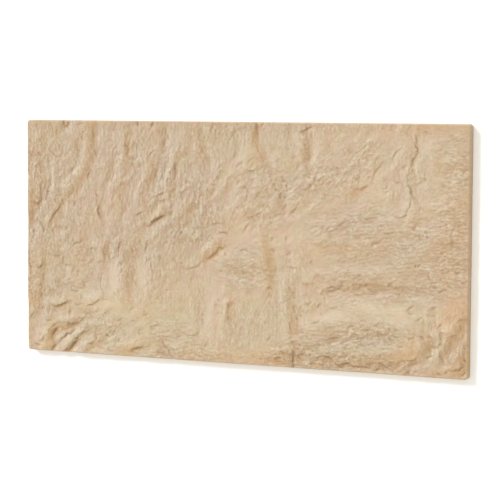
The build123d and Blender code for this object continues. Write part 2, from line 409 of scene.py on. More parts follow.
    (2.0, 2.8, [(-421, -176), (-411, -173), (-401, -172)]),
    (1.4, 3.4, [(-404, -172), (-394, -166), (-384, -159)]),
    (0.8, 3.4, [(-388, -162), (-374, -157), (-358, -158)]),
    (2.0, 2.8, [(-475, -187), (-475, -197), (-472, -206)]),
    (2.0, 2.8, [(-543, -221), (-529, -220)]),
    (1.0, 2.8, [(-529, -203), (-531, -216)]),
    (1.4, 3.0, [(-527, -237), (-519, -229), (-506, -225)]),
    (1.0, 2.8, [(-506, -225), (-492, -223), (-479, -223)]),
    (1.2, 2.6, [(-478, -217), (-480, -229)]),
    (2.6, 3.0, [(-477, -227), (-464, -227), (-454, -227), (-446, -221)]),
    (2.8, 4.4, [(-512, -237), (-519, -247), (-529, -258)]),
    (1.7, 3.2, [(-536, -243), (-536, -252)]),
    (3.4, 4.2, [(-505, -274), (-496, -264), (-486, -256), (-474, -251), (-465, -245), (-456, -235)]),
    (4.0, 6.2, [(-444, -266), (-456, -272), (-465, -281), (-472, -289), (-484, -296), (-496, -302)]),
    (1.7, 3.2, [(-457, -264), (-450, -257)]),
    (2.6, 4.6, [(-514, -281), (-521, -288), (-528, -302)]),
    (1.4, 6.0, [(-530, -260), (-525, -272), (-518, -284)]),
    (1.7, 3.4, [(-549, -262), (-556, -272), (-567, -277)]),
    (1.2, 3.0, [(-564, -256), (-560, -264)]),
    (2.2, 3.2, [(-582, -283), (-572, -285), (-559, -285)]),
    (2.0, 3.4, [(-582, -199), (-587, -208), (-593, -219)]),
    (1.5, 3.2, [(-555, -181), (-561, -192)]),
    (1.3, 3.2, [(-560, -148), (-558, -154), (-553, -160)]),
    (1.0, 5.0, [(-547, -150), (-543, -157), (-536, -160)]),
    (1.2, 3.4, [(-537, -130), (-532, -137), (-531, -147)]),
    (1.5, 3.2, [(-592, -57), (-593, -69)]),
    (1.8, 3.0, [(-602, -77), (-593, -75), (-586, -72)]),
    (1.6, 2.8, [(-602, -82), (-586, -83)]),
    (1.4, 2.8, [(-590, -96), (-589, -102), (-586, -107)]),
    (2.2, 3.6, [(-564, -88), (-559, -79), (-553, -73)]),
    (1.3, 2.8, [(-549, -70), (-547, -83)]),
    (1.2, 3.2, [(-516, -113), (-513, -126)]),
    (1.8, 3.0, [(-507, -113), (-504, -123)]),
    (0.9, 2.6, [(-500, -119), (-490, -124), (-477, -121)]),
    (1.4, 2.6, [(-519, -50), (-510, -50), (-501, -49)]),
    (0.9, 2.6, [(-535, -47), (-524, -49)]),
    (1.1, 2.6, [(-495, -42), (-492, -54), (-496, -66), (-504, -74)]),
    (0.9, 2.4, [(-491, -74), (-478, -75), (-464, -71)]),
    (1.3, 2.8, [(-463, -78), (-464, -92)]),
    (1.0, 2.8, [(-452, -88), (-442, -88)]),
    (0.9, 2.6, [(-447, -57), (-434, -60), (-420, -60)]),
    (1.4, 2.8, [(-417, -67), (-409, -60), (-401, -53)]),
    (1.7, 2.6, [(-463, -22), (-452, -16), (-442, -11), (-436, -1)]),
    (1.3, 3.0, [(-466, -8), (-462, -13)]),
    (1.4, 2.8, [(-413, -28), (-405, -26)]),
    (1.4, 2.8, [(-402, -32), (-395, -25)]),
    (1.9, 2.6, [(-325, -6), (-328, -20), (-329, -33), (-335, -45)]),
    (1.0, 2.6, [(-343, -20), (-342, -32)]),
    (1.1, 6.0, [(-367, -18), (-373, -30), (-372, -46)]),
    (1.2, 2.6, [(-373, -42), (-357, -41)]),
    (1.2, 2.6, [(-392, -64), (-378, -61)]),
    (1.2, 2.6, [(-325, -57), (-328, -72)]),
    (1.2, 2.6, [(-317, -57), (-321, -70)]),
    (1.2, 2.4, [(-382, -83), (-380, -98), (-382, -115), (-379, -130), (-374, -144), (-381, -155)]),
    (0.8, 2.4, [(-388, -86), (-388, -112)]),
    (1.4, 2.8, [(-433, -113), (-430, -127)]),
    (1.4, 2.4, [(-446, -131), (-440, -133), (-435, -130)]),
    (1.3, 2.4, [(-468, -138), (-456, -139), (-445, -137)]),
    (1.1, 3.4, [(-439, -149), (-439, -162)]),
    (1.2, 3.2, [(-373, -196), (-364, -192)]),
    (1.5, 2.6, [(-336, -210), (-328, -207), (-321, -203)]),
    (1.3, 2.6, [(-367, -220), (-366, -232)]),
    (1.2, 2.6, [(-414, -226), (-413, -234)]),
    (1.3, 2.8, [(-441, -248), (-433, -247), (-424, -243), (-411, -241)]),
    (1.1, 2.6, [(-397, -250), (-388, -249), (-379, -247)]),
    (1.4, 2.6, [(-370, -249), (-358, -251), (-351, -251)]),
    (1.4, 2.6, [(-346, -247), (-342, -251)]),
    (2.0, 2.8, [(-414, -274), (-404, -272)]),
    (2.0, 3.0, [(-398, -262), (-394, -254)]),
    (1.2, 4.0, [(-336, -266), (-331, -261), (-326, -255)]),
    (1.1, 3.6, [(-366, -283), (-356, -288), (-344, -287)]),
    (1.1, 3.6, [(-386, -279), (-377, -286), (-371, -296)]),
    (1.3, 3.4, [(-430, -297), (-422, -289)]),
    # Bottom middle
    (1.8, 2.8, [(-247, -2), (-250, -16), (-255, -30)]),
    (1.3, 2.6, [(-247, -43), (-251, -59)]),
    (1.4, 2.6, [(-238, -41), (-243, -58)]),
    (1.2, 2.8, [(-237, -61), (-235, -74)]),
    (0.9, 4.0, [(-210, -36), (-211, -52)]),
    (1.1, 3.6, [(-174, -46), (-166, -56)]),
    (0.9, 2.6, [(-158, -56), (-148, -55)]),
    (1.1, 2.8, [(-150, -67), (-143, -62)]),
    (1.4, 2.8, [(-142, -69), (-130, -69), (-118, -66), (-107, -61), (-98, -53), (-86, -42)]),
    (2.2, 6.0, [(-80, -41), (-66, -35), (-54, -25), (-44, -13)]),
    (1.6, 3.0, [(-78, -41), (-66, -36), (-58, -32)]),
    (2.4, 3.2, [(-44, -11), (-37, -16)]),
    (1.9, 3.0, [(-30, -26), (-29, -32)]),
    (0.9, 2.4, [(-99, -18), (-99, -36)]),
    (1.5, 3.2, [(-294, -19), (-291, -28), (-289, -38)]),
    (1.2, 2.8, [(-286, -28), (-277, -25)]),
    (1.0, 3.0, [(-285, -104), (-281, -112), (-277, -118)]),
    (1.1, 3.0, [(-258, -178), (-255, -188)]),
    (1.2, 3.0, [(-258, -192), (-247, -188)]),
    (1.1, 3.0, [(-298, -210), (-284, -208)]),
    (0.9, 3.2, [(-299, -182), (-284, -171)]),
    (1.3, 2.6, [(-232, -217), (-221, -215), (-210, -213)]),
    (1.1, 2.6, [(-237, -218), (-236, -227)]),
    (1.2, 2.6, [(-271, -229), (-271, -246)]),
    (0.9, 2.6, [(-282, -226), (-276, -230)]),
    (0.9, 2.6, [(-262, -225), (-258, -232)]),
    (1.1, 2.4, [(-142, -232), (-130, -236), (-117, -236), (-107, -231), (-98, -224)]),
    (0.9, 2.8, [(-163, -241), (-155, -238)]),
    (1.6, 4.2, [(-206, -252), (-200, -262), (-194, -272)]),
    (1.5, 4.0, [(-195, -270), (-186, -279), (-181, -290), (-179, -302)]),
    (3.6, 4.2, [(-295, -285), (-284, -281), (-274, -277), (-256, -273)]),
    (1.1, 3.0, [(-227, -292), (-214, -285), (-200, -285), (-188, -289)]),
    (1.3, 2.8, [(-93, -179), (-92, -188)]),
    (1.3, 3.0, [(-95, -193), (-90, -196)]),
    (0.9, 2.8, [(-96, -200), (-87, -209)]),
    (1.4, 3.2, [(-20, -149), (-21, -163)]),
    (0.8, 4.0, [(-25, -168), (-21, -184), (-20, -200)]),
    (0.9, 3.0, [(-13, -186), (-11, -194)]),
    (0.8, 4.0, [(-78, -253), (-87, -264)]),
    (0.9, 3.4, [(-50, -269), (-40, -266)]),
    (0.8, 2.6, [(-199, -123), (-187, -122), (-174, -121)]),
    (1.1, 3.0, [(-44, -69), (-36, -69)]),
    (1.0, 3.0, [(-19, -67), (-10, -70)]),
    (0.9, 3.0, [(-27, -58), (0, -59), (24, -61)]),
    # Bottom, right of the middle
    (1.2, 4.0, [(10, -18), (24, -14), (36, -18)]),
    (1.3, 3.4, [(97, -11), (104, -21)]),
    (1.3, 4.0, [(107, -53), (108, -67)]),
    (1.2, 3.6, [(76, -66), (84, -64)]),
    (1.4, 3.4, [(79, -86), (84, -82)]),
    (0.9, 5.0, [(68, -38), (73, -56), (77, -72)]),
    (1.2, 4.0, [(86, -109), (94, -107), (102, -111)]),
    (1.0, 3.2, [(93, -122), (87, -130)]),
    (1.3, 2.6, [(134, -24), (142, -21), (145, -10)]),
    (1.4, 2.4, [(139, -51), (152, -54), (164, -52)]),
    (1.2, 2.8, [(198, -39), (204, -37)]),
    (0.9, 2.8, [(243, -29), (257, -24)]),
    (1.0, 3.4, [(211, -83), (217, -70), (228, -73), (234, -79)]),
    (1.0, 3.2, [(185, -95), (200, -93)]),
    (2.2, 2.8, [(240, -99), (256, -97), (270, -98), (280, -95), (286, -88)]),
    (1.5, 3.2, [(278, -86), (284, -82)]),
    (2.0, 2.6, [(242, -106), (258, -107), (272, -105)]),
    (1.4, 3.2, [(228, -115), (237, -103)]),
    (1.3, 3.0, [(143, -104), (148, -111)]),
    (1.1, 2.8, [(153, -112), (159, -119)]),
    (1.2, 2.8, [(132, -126), (142, -121)]),
    (1.1, 2.8, [(137, -132), (148, -129), (160, -127)]),
    (1.3, 3.0, [(136, -133), (141, -139)]),
    (1.0, 2.8, [(237, -118), (237, -136)]),
    (1.2, 3.2, [(189, -139), (195, -137)]),
    (1.3, 2.8, [(216, -147), (229, -138)]),
    (2.2, 3.4, [(155, -147), (158, -155), (161, -163)]),
    (2.0, 3.2, [(164, -170), (166, -177), (169, -185)]),
    (1.1, 3.0, [(151, -172), (152, -188)]),
    (1.6, 2.8, [(146, -188), (147, -198), (149, -211)]),
    (1.0, 2.8, [(165, -188), (168, -204)]),
    (1.4, 2.6, [(203, -188), (214, -184), (227, -177)]),
    (1.2, 2.8, [(229, -160), (231, -170)]),
    (1.2, 3.4, [(84, -238), (89, -232), (93, -225)]),
    (1.8, 3.0, [(152, -236), (160, -236)]),
    (1.2, 2.4, [(155, -240), (158, -252)]),
    (3.4, 2.9, [(155.5, -252), (155.5, -268), (155.5, -284), (155.5, -306)]),
    (1.8, 2.8, [(161, -253), (174, -251)]),
    (1.9, 3.8, [(115, -276), (121, -274)]),
    (1.1, 3.4, [(105, -281), (116, -279)]),
    (1.3, 3.0, [(144, -262), (148, -272), (144, -284)]),
    (1.1, 3.0, [(128, -262), (132, -274)]),
    (1.0, 3.0, [(138, -254), (148, -256)]),
    (1.5, 3.0, [(201, -272), (213, -273), (224, -269)]),
    (3.0, 3.2, [(221, -270), (232, -268), (246, -268), (256, -274), (266, -281), (276, -286)]),
    (2.6, 3.2, [(274, -286), (286, -283), (296, -280), (306, -284)]),
    (1.9, 2.8, [(276, -287), (287, -297)]),
    (1.8, 3.4, [(221, -288), (230, -290), (238, -288)]),
    (1.2, 3.0, [(205, -286), (214, -284)]),
    (1.6, 2.8, [(248, -225), (262, -221), (277, -218)]),
    (1.3, 2.6, [(247, -234), (259, -230)]),
    (1.5, 2.8, [(282, -230), (290, -227), (299, -223)]),
    (0.9, 2.4, [(249, -147), (264, -147), (276, -146)]),
    (1.1, 2.6, [(238, -196), (253, -195)]),
    (1.1, 3.2, [(295, -210), (300, -196)]),
    (1.3, 3.0, [(277, -267), (286, -265), (298, -262)]),
    (1.1, 3.0, [(168, -269), (178, -265), (188, -262)]),
    (1.1, 2.8, [(215, -235), (228, -241)]),
    (1.0, 2.6, [(172, -228), (184, -226)]),
    (1.1, 2.8, [(170, -240), (173, -248)]),
    # Bottom right
    (3.0, 3.6, [(303, -282), (313, -288), (325, -285), (340, -288), (354, -286)]),
    (1.6, 3.0, [(346, -13), (351, -12)]),
    (1.3, 3.0, [(323, -62), (336, -65)]),
    (1.9, 3.0, [(343, -89), (350, -86)]),
    (1.3, 3.0, [(315, -89), (326, -87), (340, -91)]),
    (1.2, 2.8, [(322, -97), (332, -92)]),
    (1.9, 2.8, [(351, -96), (362, -102), (378, -104)]),
    (1.3, 2.6, [(348, -111), (358, -109), (370, -109)]),
    (1.3, 3.4, [(312, -110), (324, -113), (340, -112)]),
    (1.3, 3.0, [(399, -86), (407, -83)]),
    (1.1, 4.4, [(422, -92), (430, -91)]),
    (1.0, 2.2, [(428, -98), (429, -117)]),
    (1.0, 2.8, [(450, -94), (463, -93)]),
    (1.7, 2.8, [(467, -40), (471, -33)]),
    (1.8, 2.8, [(475, -38), (483, -31)]),
    (0.9, 2.6, [(449, -42), (462, -42)]),
    (1.9, 2.8, [(528, -97), (536, -91), (550, -88)]),
    (1.3, 3.0, [(511, -82), (519, -87)]),
    (1.0, 2.6, [(499, -52), (506, -68)]),
    (1.0, 2.8, [(553, -64), (569, -65), (585, -70), (602, -75)]),
    (1.5, 3.2, [(449, -145), (457, -139), (467, -131)]),
    (1.3, 3.0, [(451, -146), (458, -150), (467, -149)]),
    (1.2, 3.4, [(498, -151), (507, -153), (518, -151)]),
    (1.1, 2.8, [(503, -143), (513, -137), (527, -131)]),
    (1.2, 2.6, [(468, -169), (479, -163), (493, -157)]),
    (1.7, 2.8, [(526, -181), (529, -174), (536, -170)]),
    (1.3, 2.4, [(532, -191), (546, -190)]),
    (1.3, 2.4, [(539, -195), (553, -194)]),
    (1.9, 2.6, [(532, -195), (533, -204), (533, -212)]),
    (1.7, 2.6, [(533, -213), (530, -223), (525, -233)]),
    (1.6, 2.8, [(514, -228), (525, -230)]),
    (1.9, 2.8, [(501, -204), (513, -206)]),
    (1.7, 2.8, [(482, -203), (493, -209)]),
    (1.2, 2.6, [(488, -218), (500, -222)]),
    (1.6, 2.6, [(530, -236), (534, -248), (541, -264)]),
    (2.0, 3.0, [(496, -256), (503, -252), (510, -248)]),
    (2.0, 3.2, [(469, -260), (473, -257)]),
    (1.5, 2.8, [(457, -265), (472, -263)]),
    (1.5, 3.2, [(449, -276), (464, -272), (480, -266)]),
    (2.0, 2.8, [(328, -232), (336, -233), (345, -235)]),
    (1.6, 3.0, [(336, -194), (345, -197), (357, -195)]),
    (1.0, 5.0, [(369, -184), (382, -181), (395, -175)]),
    (1.9, 2.8, [(381, -207), (396, -206)]),
    (1.5, 2.8, [(416, -192), (431, -191)]),
    (1.3, 2.6, [(410, -204), (420, -208), (432, -209)]),
    (1.6, 2.8, [(402, -215), (416, -215)]),
    (1.2, 2.6, [(400, -187), (411, -196)]),
    (1.2, 2.6, [(452, -210), (467, -209)]),
    (1.4, 2.8, [(308, -204), (317, -207), (327, -211)]),
    (1.2, 2.6, [(318, -218), (331, -217)]),
    (1.1, 2.8, [(352, -229), (366, -226)]),
    (1.1, 2.6, [(426, -231), (440, -228)]),
    (1.4, 2.8, [(371, -263), (384, -262), (397, -257)]),
    (1.2, 2.8, [(372, -257), (388, -256)]),
    (1.7, 3.4, [(352, -279), (358, -277)]),
    (2.4, 2.8, [(376, -276), (386, -277), (394, -282), (402, -285), (408, -290)]),
    (2.1, 3.0, [(371, -292), (382, -284)]),
    (1.5, 3.0, [(408, -272), (418, -267)]),
    (1.4, 3.0, [(424, -272), (434, -268)]),
    (1.4, 3.0, [(438, -263), (446, -272)]),
    (2.0, 3.4, [(445, -298), (456, -290)]),
    (1.8, 3.6, [(528, -290), (536, -291)]),
    (1.6, 3.2, [(545, -289), (553, -283)]),
    (1.6, 3.0, [(553, -280), (566, -280), (577, -277)]),
    (2.4, 5.0, [(576, -281), (586, -274), (596, -270)]),
    (2.2, 4.4, [(584, -291), (596, -281)]),
    (2.0, 3.2, [(588, -252), (596, -258)]),
    (1.6, 2.8, [(591, -232), (594, -246)]),
    (1.4, 2.8, [(591, -214), (592, -226)]),
    (1.2, 3.2, [(582, -147), (591, -138)]),
    (1.2, 3.2, [(577, -163), (589, -158)]),
    (1.0, 3.2, [(556, -201), (566, -199), (574, -196)]),
]

# Grain of the split rock by area: x, y, half length, half width and angle of the area, the
# grain's own angle and its strength there
GRAIN_AREAS = [
    (-540, 120, 120, 190, 0, 92, 1.0),
    (-560, -140, 110, 110, 0, 92, 0.9),
    (-470, 250, 120, 80, 0, 108, 0.8),
    (-300, 180, 190, 120, 0, 78, 0.9),
    (-110, 90, 110, 150, 0, 78, 0.8),
    (-340, -60, 120, 90, 0, 92, 0.7),
    (-430, -110, 130, 60, 0, 170, 0.7),
    (-440, -240, 160, 60, 0, 45, 1.1),
    (-250, -60, 110, 110, 0, 92, 0.5),
    (-170, -230, 150, 70, 0, 15, 0.5),
    (-60, -180, 110, 110, 0, 92, 0.45),
    (20, -60, 110, 80, 0, 170, 0.6),
    (70, 130, 110, 110, 0, 45, 0.8),
    (150, 230, 130, 70, 0, 108, 0.6),
    (150, -110, 90, 120, 0, 108, 0.55),
    (200, -255, 110, 60, 0, 15, 0.9),
    (300, 60, 170, 90, 0, 15, 0.5),
    (330, 220, 170, 80, 0, 45, 0.5),
    (340, -90, 170, 40, 0, 170, 0.65),
    (360, -215, 170, 50, 0, 170, 0.9),
    (350, -280, 260, 30, 0, 15, 1.0),
    (460, 160, 90, 120, 0, 108, 0.7),
    (480, 20, 130, 90, 0, 15, 0.42),
    (540, -60, 90, 90, 0, 170, 0.5),
    (530, -220, 100, 80, 0, 108, 1.0),
    (560, 200, 90, 120, 0, 15, 0.6),
    (590, -20, 60, 110, 0, 15, 0.7),
    (590, -200, 60, 90, 0, 92, 0.8),
    (-40, 260, 160, 60, 0, 92, 0.6),
    (-200, 40, 130, 70, 0, 78, 0.6),
    (-590, 20, 40, 300, 0, 92, 0.6),
    (60, -230, 130, 70, 0, 92, 0.35),
    (300, 290, 300, 20, 0, 92, 0.5),
    (-160, -285, 160, 20, 0, 15, 0.6),
    (230, 140, 110, 60, 0, 45, 0.6),
]

# Smooth broken faces: x, y, half length, half width, angle and how much of the grain is gone
SMOOTH_AREAS = [
    (-262, -88, 50, 22, 88, 0.8),
    (-348, -95, 44, 16, 88, 0.75),
    (-60, -185, 60, 26, 88, 0.4),
    (207, -165, 20, 12, 0, 0.7),
    (275, -168, 34, 16, 0, 0.6),
    (350, -146, 34, 20, 0, 0.6),
    (420, -160, 40, 16, 0, 0.6),
    (545, -175, 20, 16, 0, 0.7),
    (-150, -120, 60, 20, 0, 0.5),
]

# Pitted patches: x, y, half length, half width, angle and depth
PITTED_AREAS = [
    (-275, -236, 14, 14, 0, 1.2),
    (322, -28, 26, 20, 0, 0.8),
    (-572, 200, 24, 60, 0, 0.6),
    (560, -272, 50, 24, 0, 1.4),
    (132, -272, 26, 22, 0, 1.2),
    (425, -268, 30, 10, 0, 1.2),
    (-340, 8, 12, 10, 0, 1.0),
    (-10, -70, 50, 12, 0, 0.7),
    (318, 165, 14, 14, 0, 0.8),
    (540, -200, 26, 24, 0, 0.8),
]

# Stains and painted light: x, y, half length, half width, angle and strength. Above 0 is brown: stains,
# and painted shade where one lies in a hollow of the rock forms; below 0 is paler and greyer: painted
# highlights on faces that catch the key light
STAINS_AND_PAINTED_LIGHT = [
    (-470, -238, 50, 18, 42, 0.9),
    (-525, -272, 40, 18, 80, 0.8),
    (-65, -25, 40, 16, 42, 0.7),
    (-290, -90, 50, 10, 88, 0.5),
    (190, 235, 60, 16, 90, 0.35),
    (52, 280, 26, 10, 90, 0.8),
    (-402, 262, 30, 12, 90, 0.45),
    (-572, 78, 50, 22, 70, 0.6),
    (-560, -80, 20, 14, 0, 0.5),
    (575, -190, 60, 26, 80, 0.7),
    (582, -274, 26, 20, 0, 1.0),
    (140, -278, 40, 20, 0, 0.8),
    (490, -240, 40, 24, 40, 0.6),
    (370, -90, 90, 16, 0, 0.5),
    (340, -284, 260, 20, 0, 0.6),
    (118, -275, 12, 10, 0, 0.6),
    (460, -264, 24, 10, 10, 0.5),
    (-348, -95, 46, 18, 88, -0.9),
    (-262, -85, 50, 20, 88, -0.6),
    (-60, -190, 60, 26, 80, -0.4),
    (262, -166, 38, 11, 14, -1.0),
    (345, -140, 44, 13, 174, -1.0),
    (425, -148, 36, 11, 170, -0.9),
    (205, -196, 18, 12, 0, -0.7),
    (310, -205, 24, 10, 0, -0.6),
    (370, -190, 30, 8, 160, -0.4),
    (500, -158, 40, 8, 170, -0.5),
    (548, -178, 16, 10, 0, -0.6),
    (490, -285, 30, 10, 10, -0.5),
    (-404, -146, 26, 14, 0, -0.7),
    (-384, -278, 22, 16, 30, -0.9),
    (-370, -172, 44, 9, 8, -0.7),
    (-524, 155, 50, 5, 95, -1.0),
    (-478, 82, 26, 6, 60, -0.8),
    (-470, -262, 40, 7, 45, -0.7),
    (-538, -262, 16, 8, 120, -0.6),
    (-230, 30, 30, 14, 60, -0.5),
    (-200, 170, 40, 9, 75, -0.5),
    (-250, 190, 40, 9, 75, -0.5),
    (-460, 165, 30, 10, 60, -0.5),
    (-330, 190, 60, 9, 84, -0.4),
    (-70, 190, 50, 9, 100, -0.4),
    (-170, 230, 40, 9, 80, -0.4),
    (-580, 265, 24, 12, 90, -0.4),
    (-560, 20, 24, 8, 60, -0.5),
    (480, 120, 110, 60, 0, -0.2),
    (-592, 120, 190, 30, 90, 0.2),
    (-590, -180, 120, 20, 90, 0.2),
    (-200, 300, 420, 30, 0, 0.3),
    (500, 300, 120, 16, 0, 0.35),
    (560, 20, 130, 40, 75, 0.15),
    (-200, 240, 40, 14, 90, 0.2),
    (-300, 225, 40, 12, 95, 0.2),
    (-90, 230, 40, 14, 100, 0.2),
    (88, -45, 60, 22, 95, 0.55),
    (122, 100, 40, 12, 100, 0.2),
    (76, 210, 50, 10, 112, 0.4),
    (158, -200, 50, 14, 90, 0.35),
    (40, 70, 16, 10, 20, 0.4),
    (20, 140, 16, 14, 50, 0.35),
    (-155, 14, 16, 14, 0, 0.25),
    (-370, -34, 14, 14, 0, 0.6),
    (-300, -28, 14, 12, 0, 0.5),
    (285, 52, 20, 10, 10, 0.35),
    (318, 136, 18, 9, 20, 0.4),
    (320, 168, 12, 12, 0, 0.35),
    (-14, -168, 40, 12, 92, 0.2),
    (0, -72, 60, 12, 175, 0.15),
    (250, -224, 50, 12, 20, 0.35),
    (380, -204, 26, 10, 0, 0.45),
    (465, 230, 40, 9, 90, 0.2),
    (-280, -284, 30, 10, 15, 0.3),
    (-200, -262, 24, 9, 120, 0.5),
    (-384, -286, 20, 9, 20, 0.5),
    (-510, -184, 24, 9, 10, 0.45),
    (-532, -145, 16, 12, 0, 0.5),
    (-545, -215, 30, 14, 0, 0.4),
    (-508, 70, 40, 11, 52, 0.55),
]

# Tints: x, y, half length, half width, angle and strength; above 0 creamy, below 0 pinkish grey
TINTS = [
    (-330, 110, 220, 130, 0, -0.6),
    (-60, -185, 70, 34, 86, -0.6),
    (220, 60, 150, 90, 0, -0.15),
    (-20, 110, 120, 90, 0, -0.1),
    (470, 200, 120, 70, 0, -0.1),
    (-330, -210, 200, 70, 0, 0.8),
    (-40, -280, 240, 26, 0, 0.8),
    (60, -190, 60, 80, 90, 0.7),
    (-150, -190, 50, 60, 0, 0.7),
    (-520, 250, 80, 40, 0, 0.5),
    (-570, -60, 60, 130, 0, 0.4),
    (130, -130, 30, 60, 0, 0.5),
    (340, -150, 140, 22, 0, 0.8),
    (500, -190, 90, 60, 0, 0.6),
    (330, -250, 180, 30, 0, 0.6),
    (520, 200, 80, 60, 0, 0.3),
    (30, 230, 120, 50, 0, 0.5),
    (90, -50, 60, 22, 90, 0.6),
    (-440, 60, 70, 60, 0, 0.2),
]

# Rust: x, y, half length, half width, angle and strength
RUST = [
    (-585, 0, 280, 30, 90, 0.55),
    (570, 0, 180, 60, 90, 0.5),
    (590, -250, 60, 30, 90, 0.9),
    (350, -285, 260, 18, 0, 0.6),
    (130, -268, 60, 22, 0, 0.7),
    (-480, -250, 60, 30, 40, 0.5),
    (-60, -25, 30, 14, 40, 0.3),
    (555, -165, 70, 30, 60, 0.6),
    (460, -235, 50, 26, 30, 0.6),
    (470, 285, 130, 20, 0, 0.4),
    (-500, 260, 90, 40, 0, 0.25),
    (-60, -285, 160, 20, 0, 0.4),
    (160, -190, 70, 14, 90, 0.4),
    (-410, 250, 50, 14, 85, 0.35),
    (340, -110, 90, 20, 4, 0.3),
]

# Random lattices
LATTICE_SIZE = 256  # corners each way before the noise's slopes repeat
NOISE_GAIN = 1.5  # brings the noise to about -1 to 1
CELL_COUNT = 128  # cells each way before random levels and points repeat


def lattice_noise(x, y, seed):
    """Gradient noise of about -1 to 1. Each corner of a unit square has a random slope; the
    four slopes' planes are blended by 6t^5 - 15t^4 + 10t^3 across the square."""
    turns = np.random.default_rng(seed).uniform(0, 2 * np.pi, (LATTICE_SIZE, LATTICE_SIZE))
    column = np.floor(x).astype(int)
    row = np.floor(y).astype(int)
    u = x - column
    v = y - row

    def plane(step_x, step_y):
        turn = turns[(column + step_x) % LATTICE_SIZE, (row + step_y) % LATTICE_SIZE]
        return np.cos(turn) * (u - step_x) + np.sin(turn) * (v - step_y)

    blend_u = u**3 * (u * (6 * u - 15) + 10)
    blend_v = v**3 * (v * (6 * v - 15) + 10)
    low = plane(0, 0) + (plane(1, 0) - plane(0, 0)) * blend_u
    high = plane(0, 1) + (plane(1, 1) - plane(0, 1)) * blend_u
    return NOISE_GAIN * (low + (high - low) * blend_v)


def layered_noise(x, y, length, width, octaves, seed, gain=0.5):
    """Lattice noise that long and wide, added up in octaves of half the size and gain times
    the height."""
    total = np.zeros_like(x)
    share = 1.0
    for octave in range(octaves):
        scale = 2.0**octave
        total += share * lattice_noise(x / length * scale, y / width * scale, seed + octave)
        share *= gain
    return total


# Bends in the grain and in the creases: size, octaves, reach, and the seeds for x and y
GRAIN_BENDS = [(70, 3, 8.0, 11, 21), (12, 2, 2.0, 15, 25)]
CREASE_BENDS = [(14, 3, 2.6, 81, 91)]


def bent(x, y, bends):
    """Places moved both ways by layered noise, so that what runs straight there wanders."""
    moved_x = x
    moved_y = y
    for size, octaves, reach, seed_x, seed_y in bends:
        moved_x = moved_x + reach * layered_noise(x, y, size, size, octaves, seed_x)
        moved_y = moved_y + reach * layered_noise(x, y, size, size, octaves, seed_y)
    return moved_x, moved_y


def turned(x, y, angle):
    """Distances along and across a direction that many degrees from +X."""
    turn = radians(angle)
    along = x * np.cos(turn) + y * np.sin(turn)
    across = y * np.cos(turn) - x * np.sin(turn)
    return along, across


def bell(x, y, area):
    """1 in the middle of an area, falling off by a bell curve over its half length and width."""
    centre_x, centre_y, half_length, half_width, angle = area[:5]
    along, across = turned(x - centre_x, y - centre_y, angle)
    return np.exp(-((along / half_length) ** 2) - (across / half_width) ** 2)


def area_sum(x, y, areas):
    """Sum of the areas' bells, each times its last value."""
    return sum(area[-1] * bell(x, y, area) for area in areas)


# Octaves of the grain's streaks and of uneven patches
STREAK_OCTAVES = 2
PATCH_OCTAVES = 2


def streaks(along, across, length, width, seed):
    """Soft streaks of about -1 to 1, that long and wide: layered noise."""
    return layered_noise(along, across, length, width, STREAK_OCTAVES, seed)


def patches(x, y, length, width, seed, levels):
    """Uneven strength: a mean plus a swing times layered noise, held within a least and a most."""
    mean, swing, least, most = levels
    return np.clip(mean + swing * layered_noise(x, y, length, width, PATCH_OCTAVES, seed), least, most)


def facets(along, across, length, width, seed):
    """Crumpled flat faces, -1 to 1 high: random heights at the corners of a lattice that long and
    wide, joined by two flat triangles in each of its cells."""
    level = np.random.default_rng(seed).uniform(-1, 1, (CELL_COUNT, CELL_COUNT))
    a = along / length
    b = across / width
    column = np.floor(a).astype(int)
    row = np.floor(b).astype(int)
    u = a - column
    v = b - row

    def corner(step_a, step_b):
        return level[(column + step_a) % CELL_COUNT, (row + step_b) % CELL_COUNT]

    low = corner(0, 0) * (1 - u - v) + corner(1, 0) * u + corner(0, 1) * v
    high = corner(1, 1) * (u + v - 1) + corner(0, 1) * (1 - u) + corner(1, 0) * (1 - v)
    return np.where(u + v < 1, low, high)


# Ledges, in widths of one ledge
LEDGE_DROP = 0.22  # within which its height drops again
LEDGE_WANDER = 1.3  # by which its edge wanders
LEDGE_BEND = 2.5  # width of the bends in its edge
LEDGE_PATCH = 3  # width of the patches that fade out
LEDGE_OCTAVES = 3  # of the bends
LEDGE_GAIN = 0.6  # from one octave to the next
LEDGE_LEVELS = (0.55, 1.1, 0, 1.3)  # mean, swing, least and most of the patches
LEDGE_SEED_STEP = 5  # from the seed of the bends to that of the patches


def ledges(along, across, length, width, seed):
    """Overlapping flakes, 0 to 1 high. Over each unit of phase the height rises evenly and then
    drops within LEDGE_DROP. The phase is the distance across in widths, made uneven by layered
    noise, and patches of the flakes fade out."""
    noise = layered_noise(along, across, length, LEDGE_BEND * width, LEDGE_OCTAVES, seed, LEDGE_GAIN)
    phase = -across / width + LEDGE_WANDER * noise
    part = phase - np.floor(phase)
    patch_seed = seed + LEDGE_SEED_STEP
    fade = patches(along, across, length, LEDGE_PATCH * width, patch_seed, LEDGE_LEVELS)
    return fade * np.minimum(part / (1 - LEDGE_DROP), (1 - part) / LEDGE_DROP)


# Pits
PIT_CELL = 9.0  # size of the cells that may hold one pit each
PIT_PLACE = (0.2, 0.8)  # least and most of a pit's place across its cell
PIT_DEPTH = (-1.2, 1)  # least and most of its depth; below 0 there is none
PIT_RADIUS = 0.3  # in cells
PIT_SEED = 801


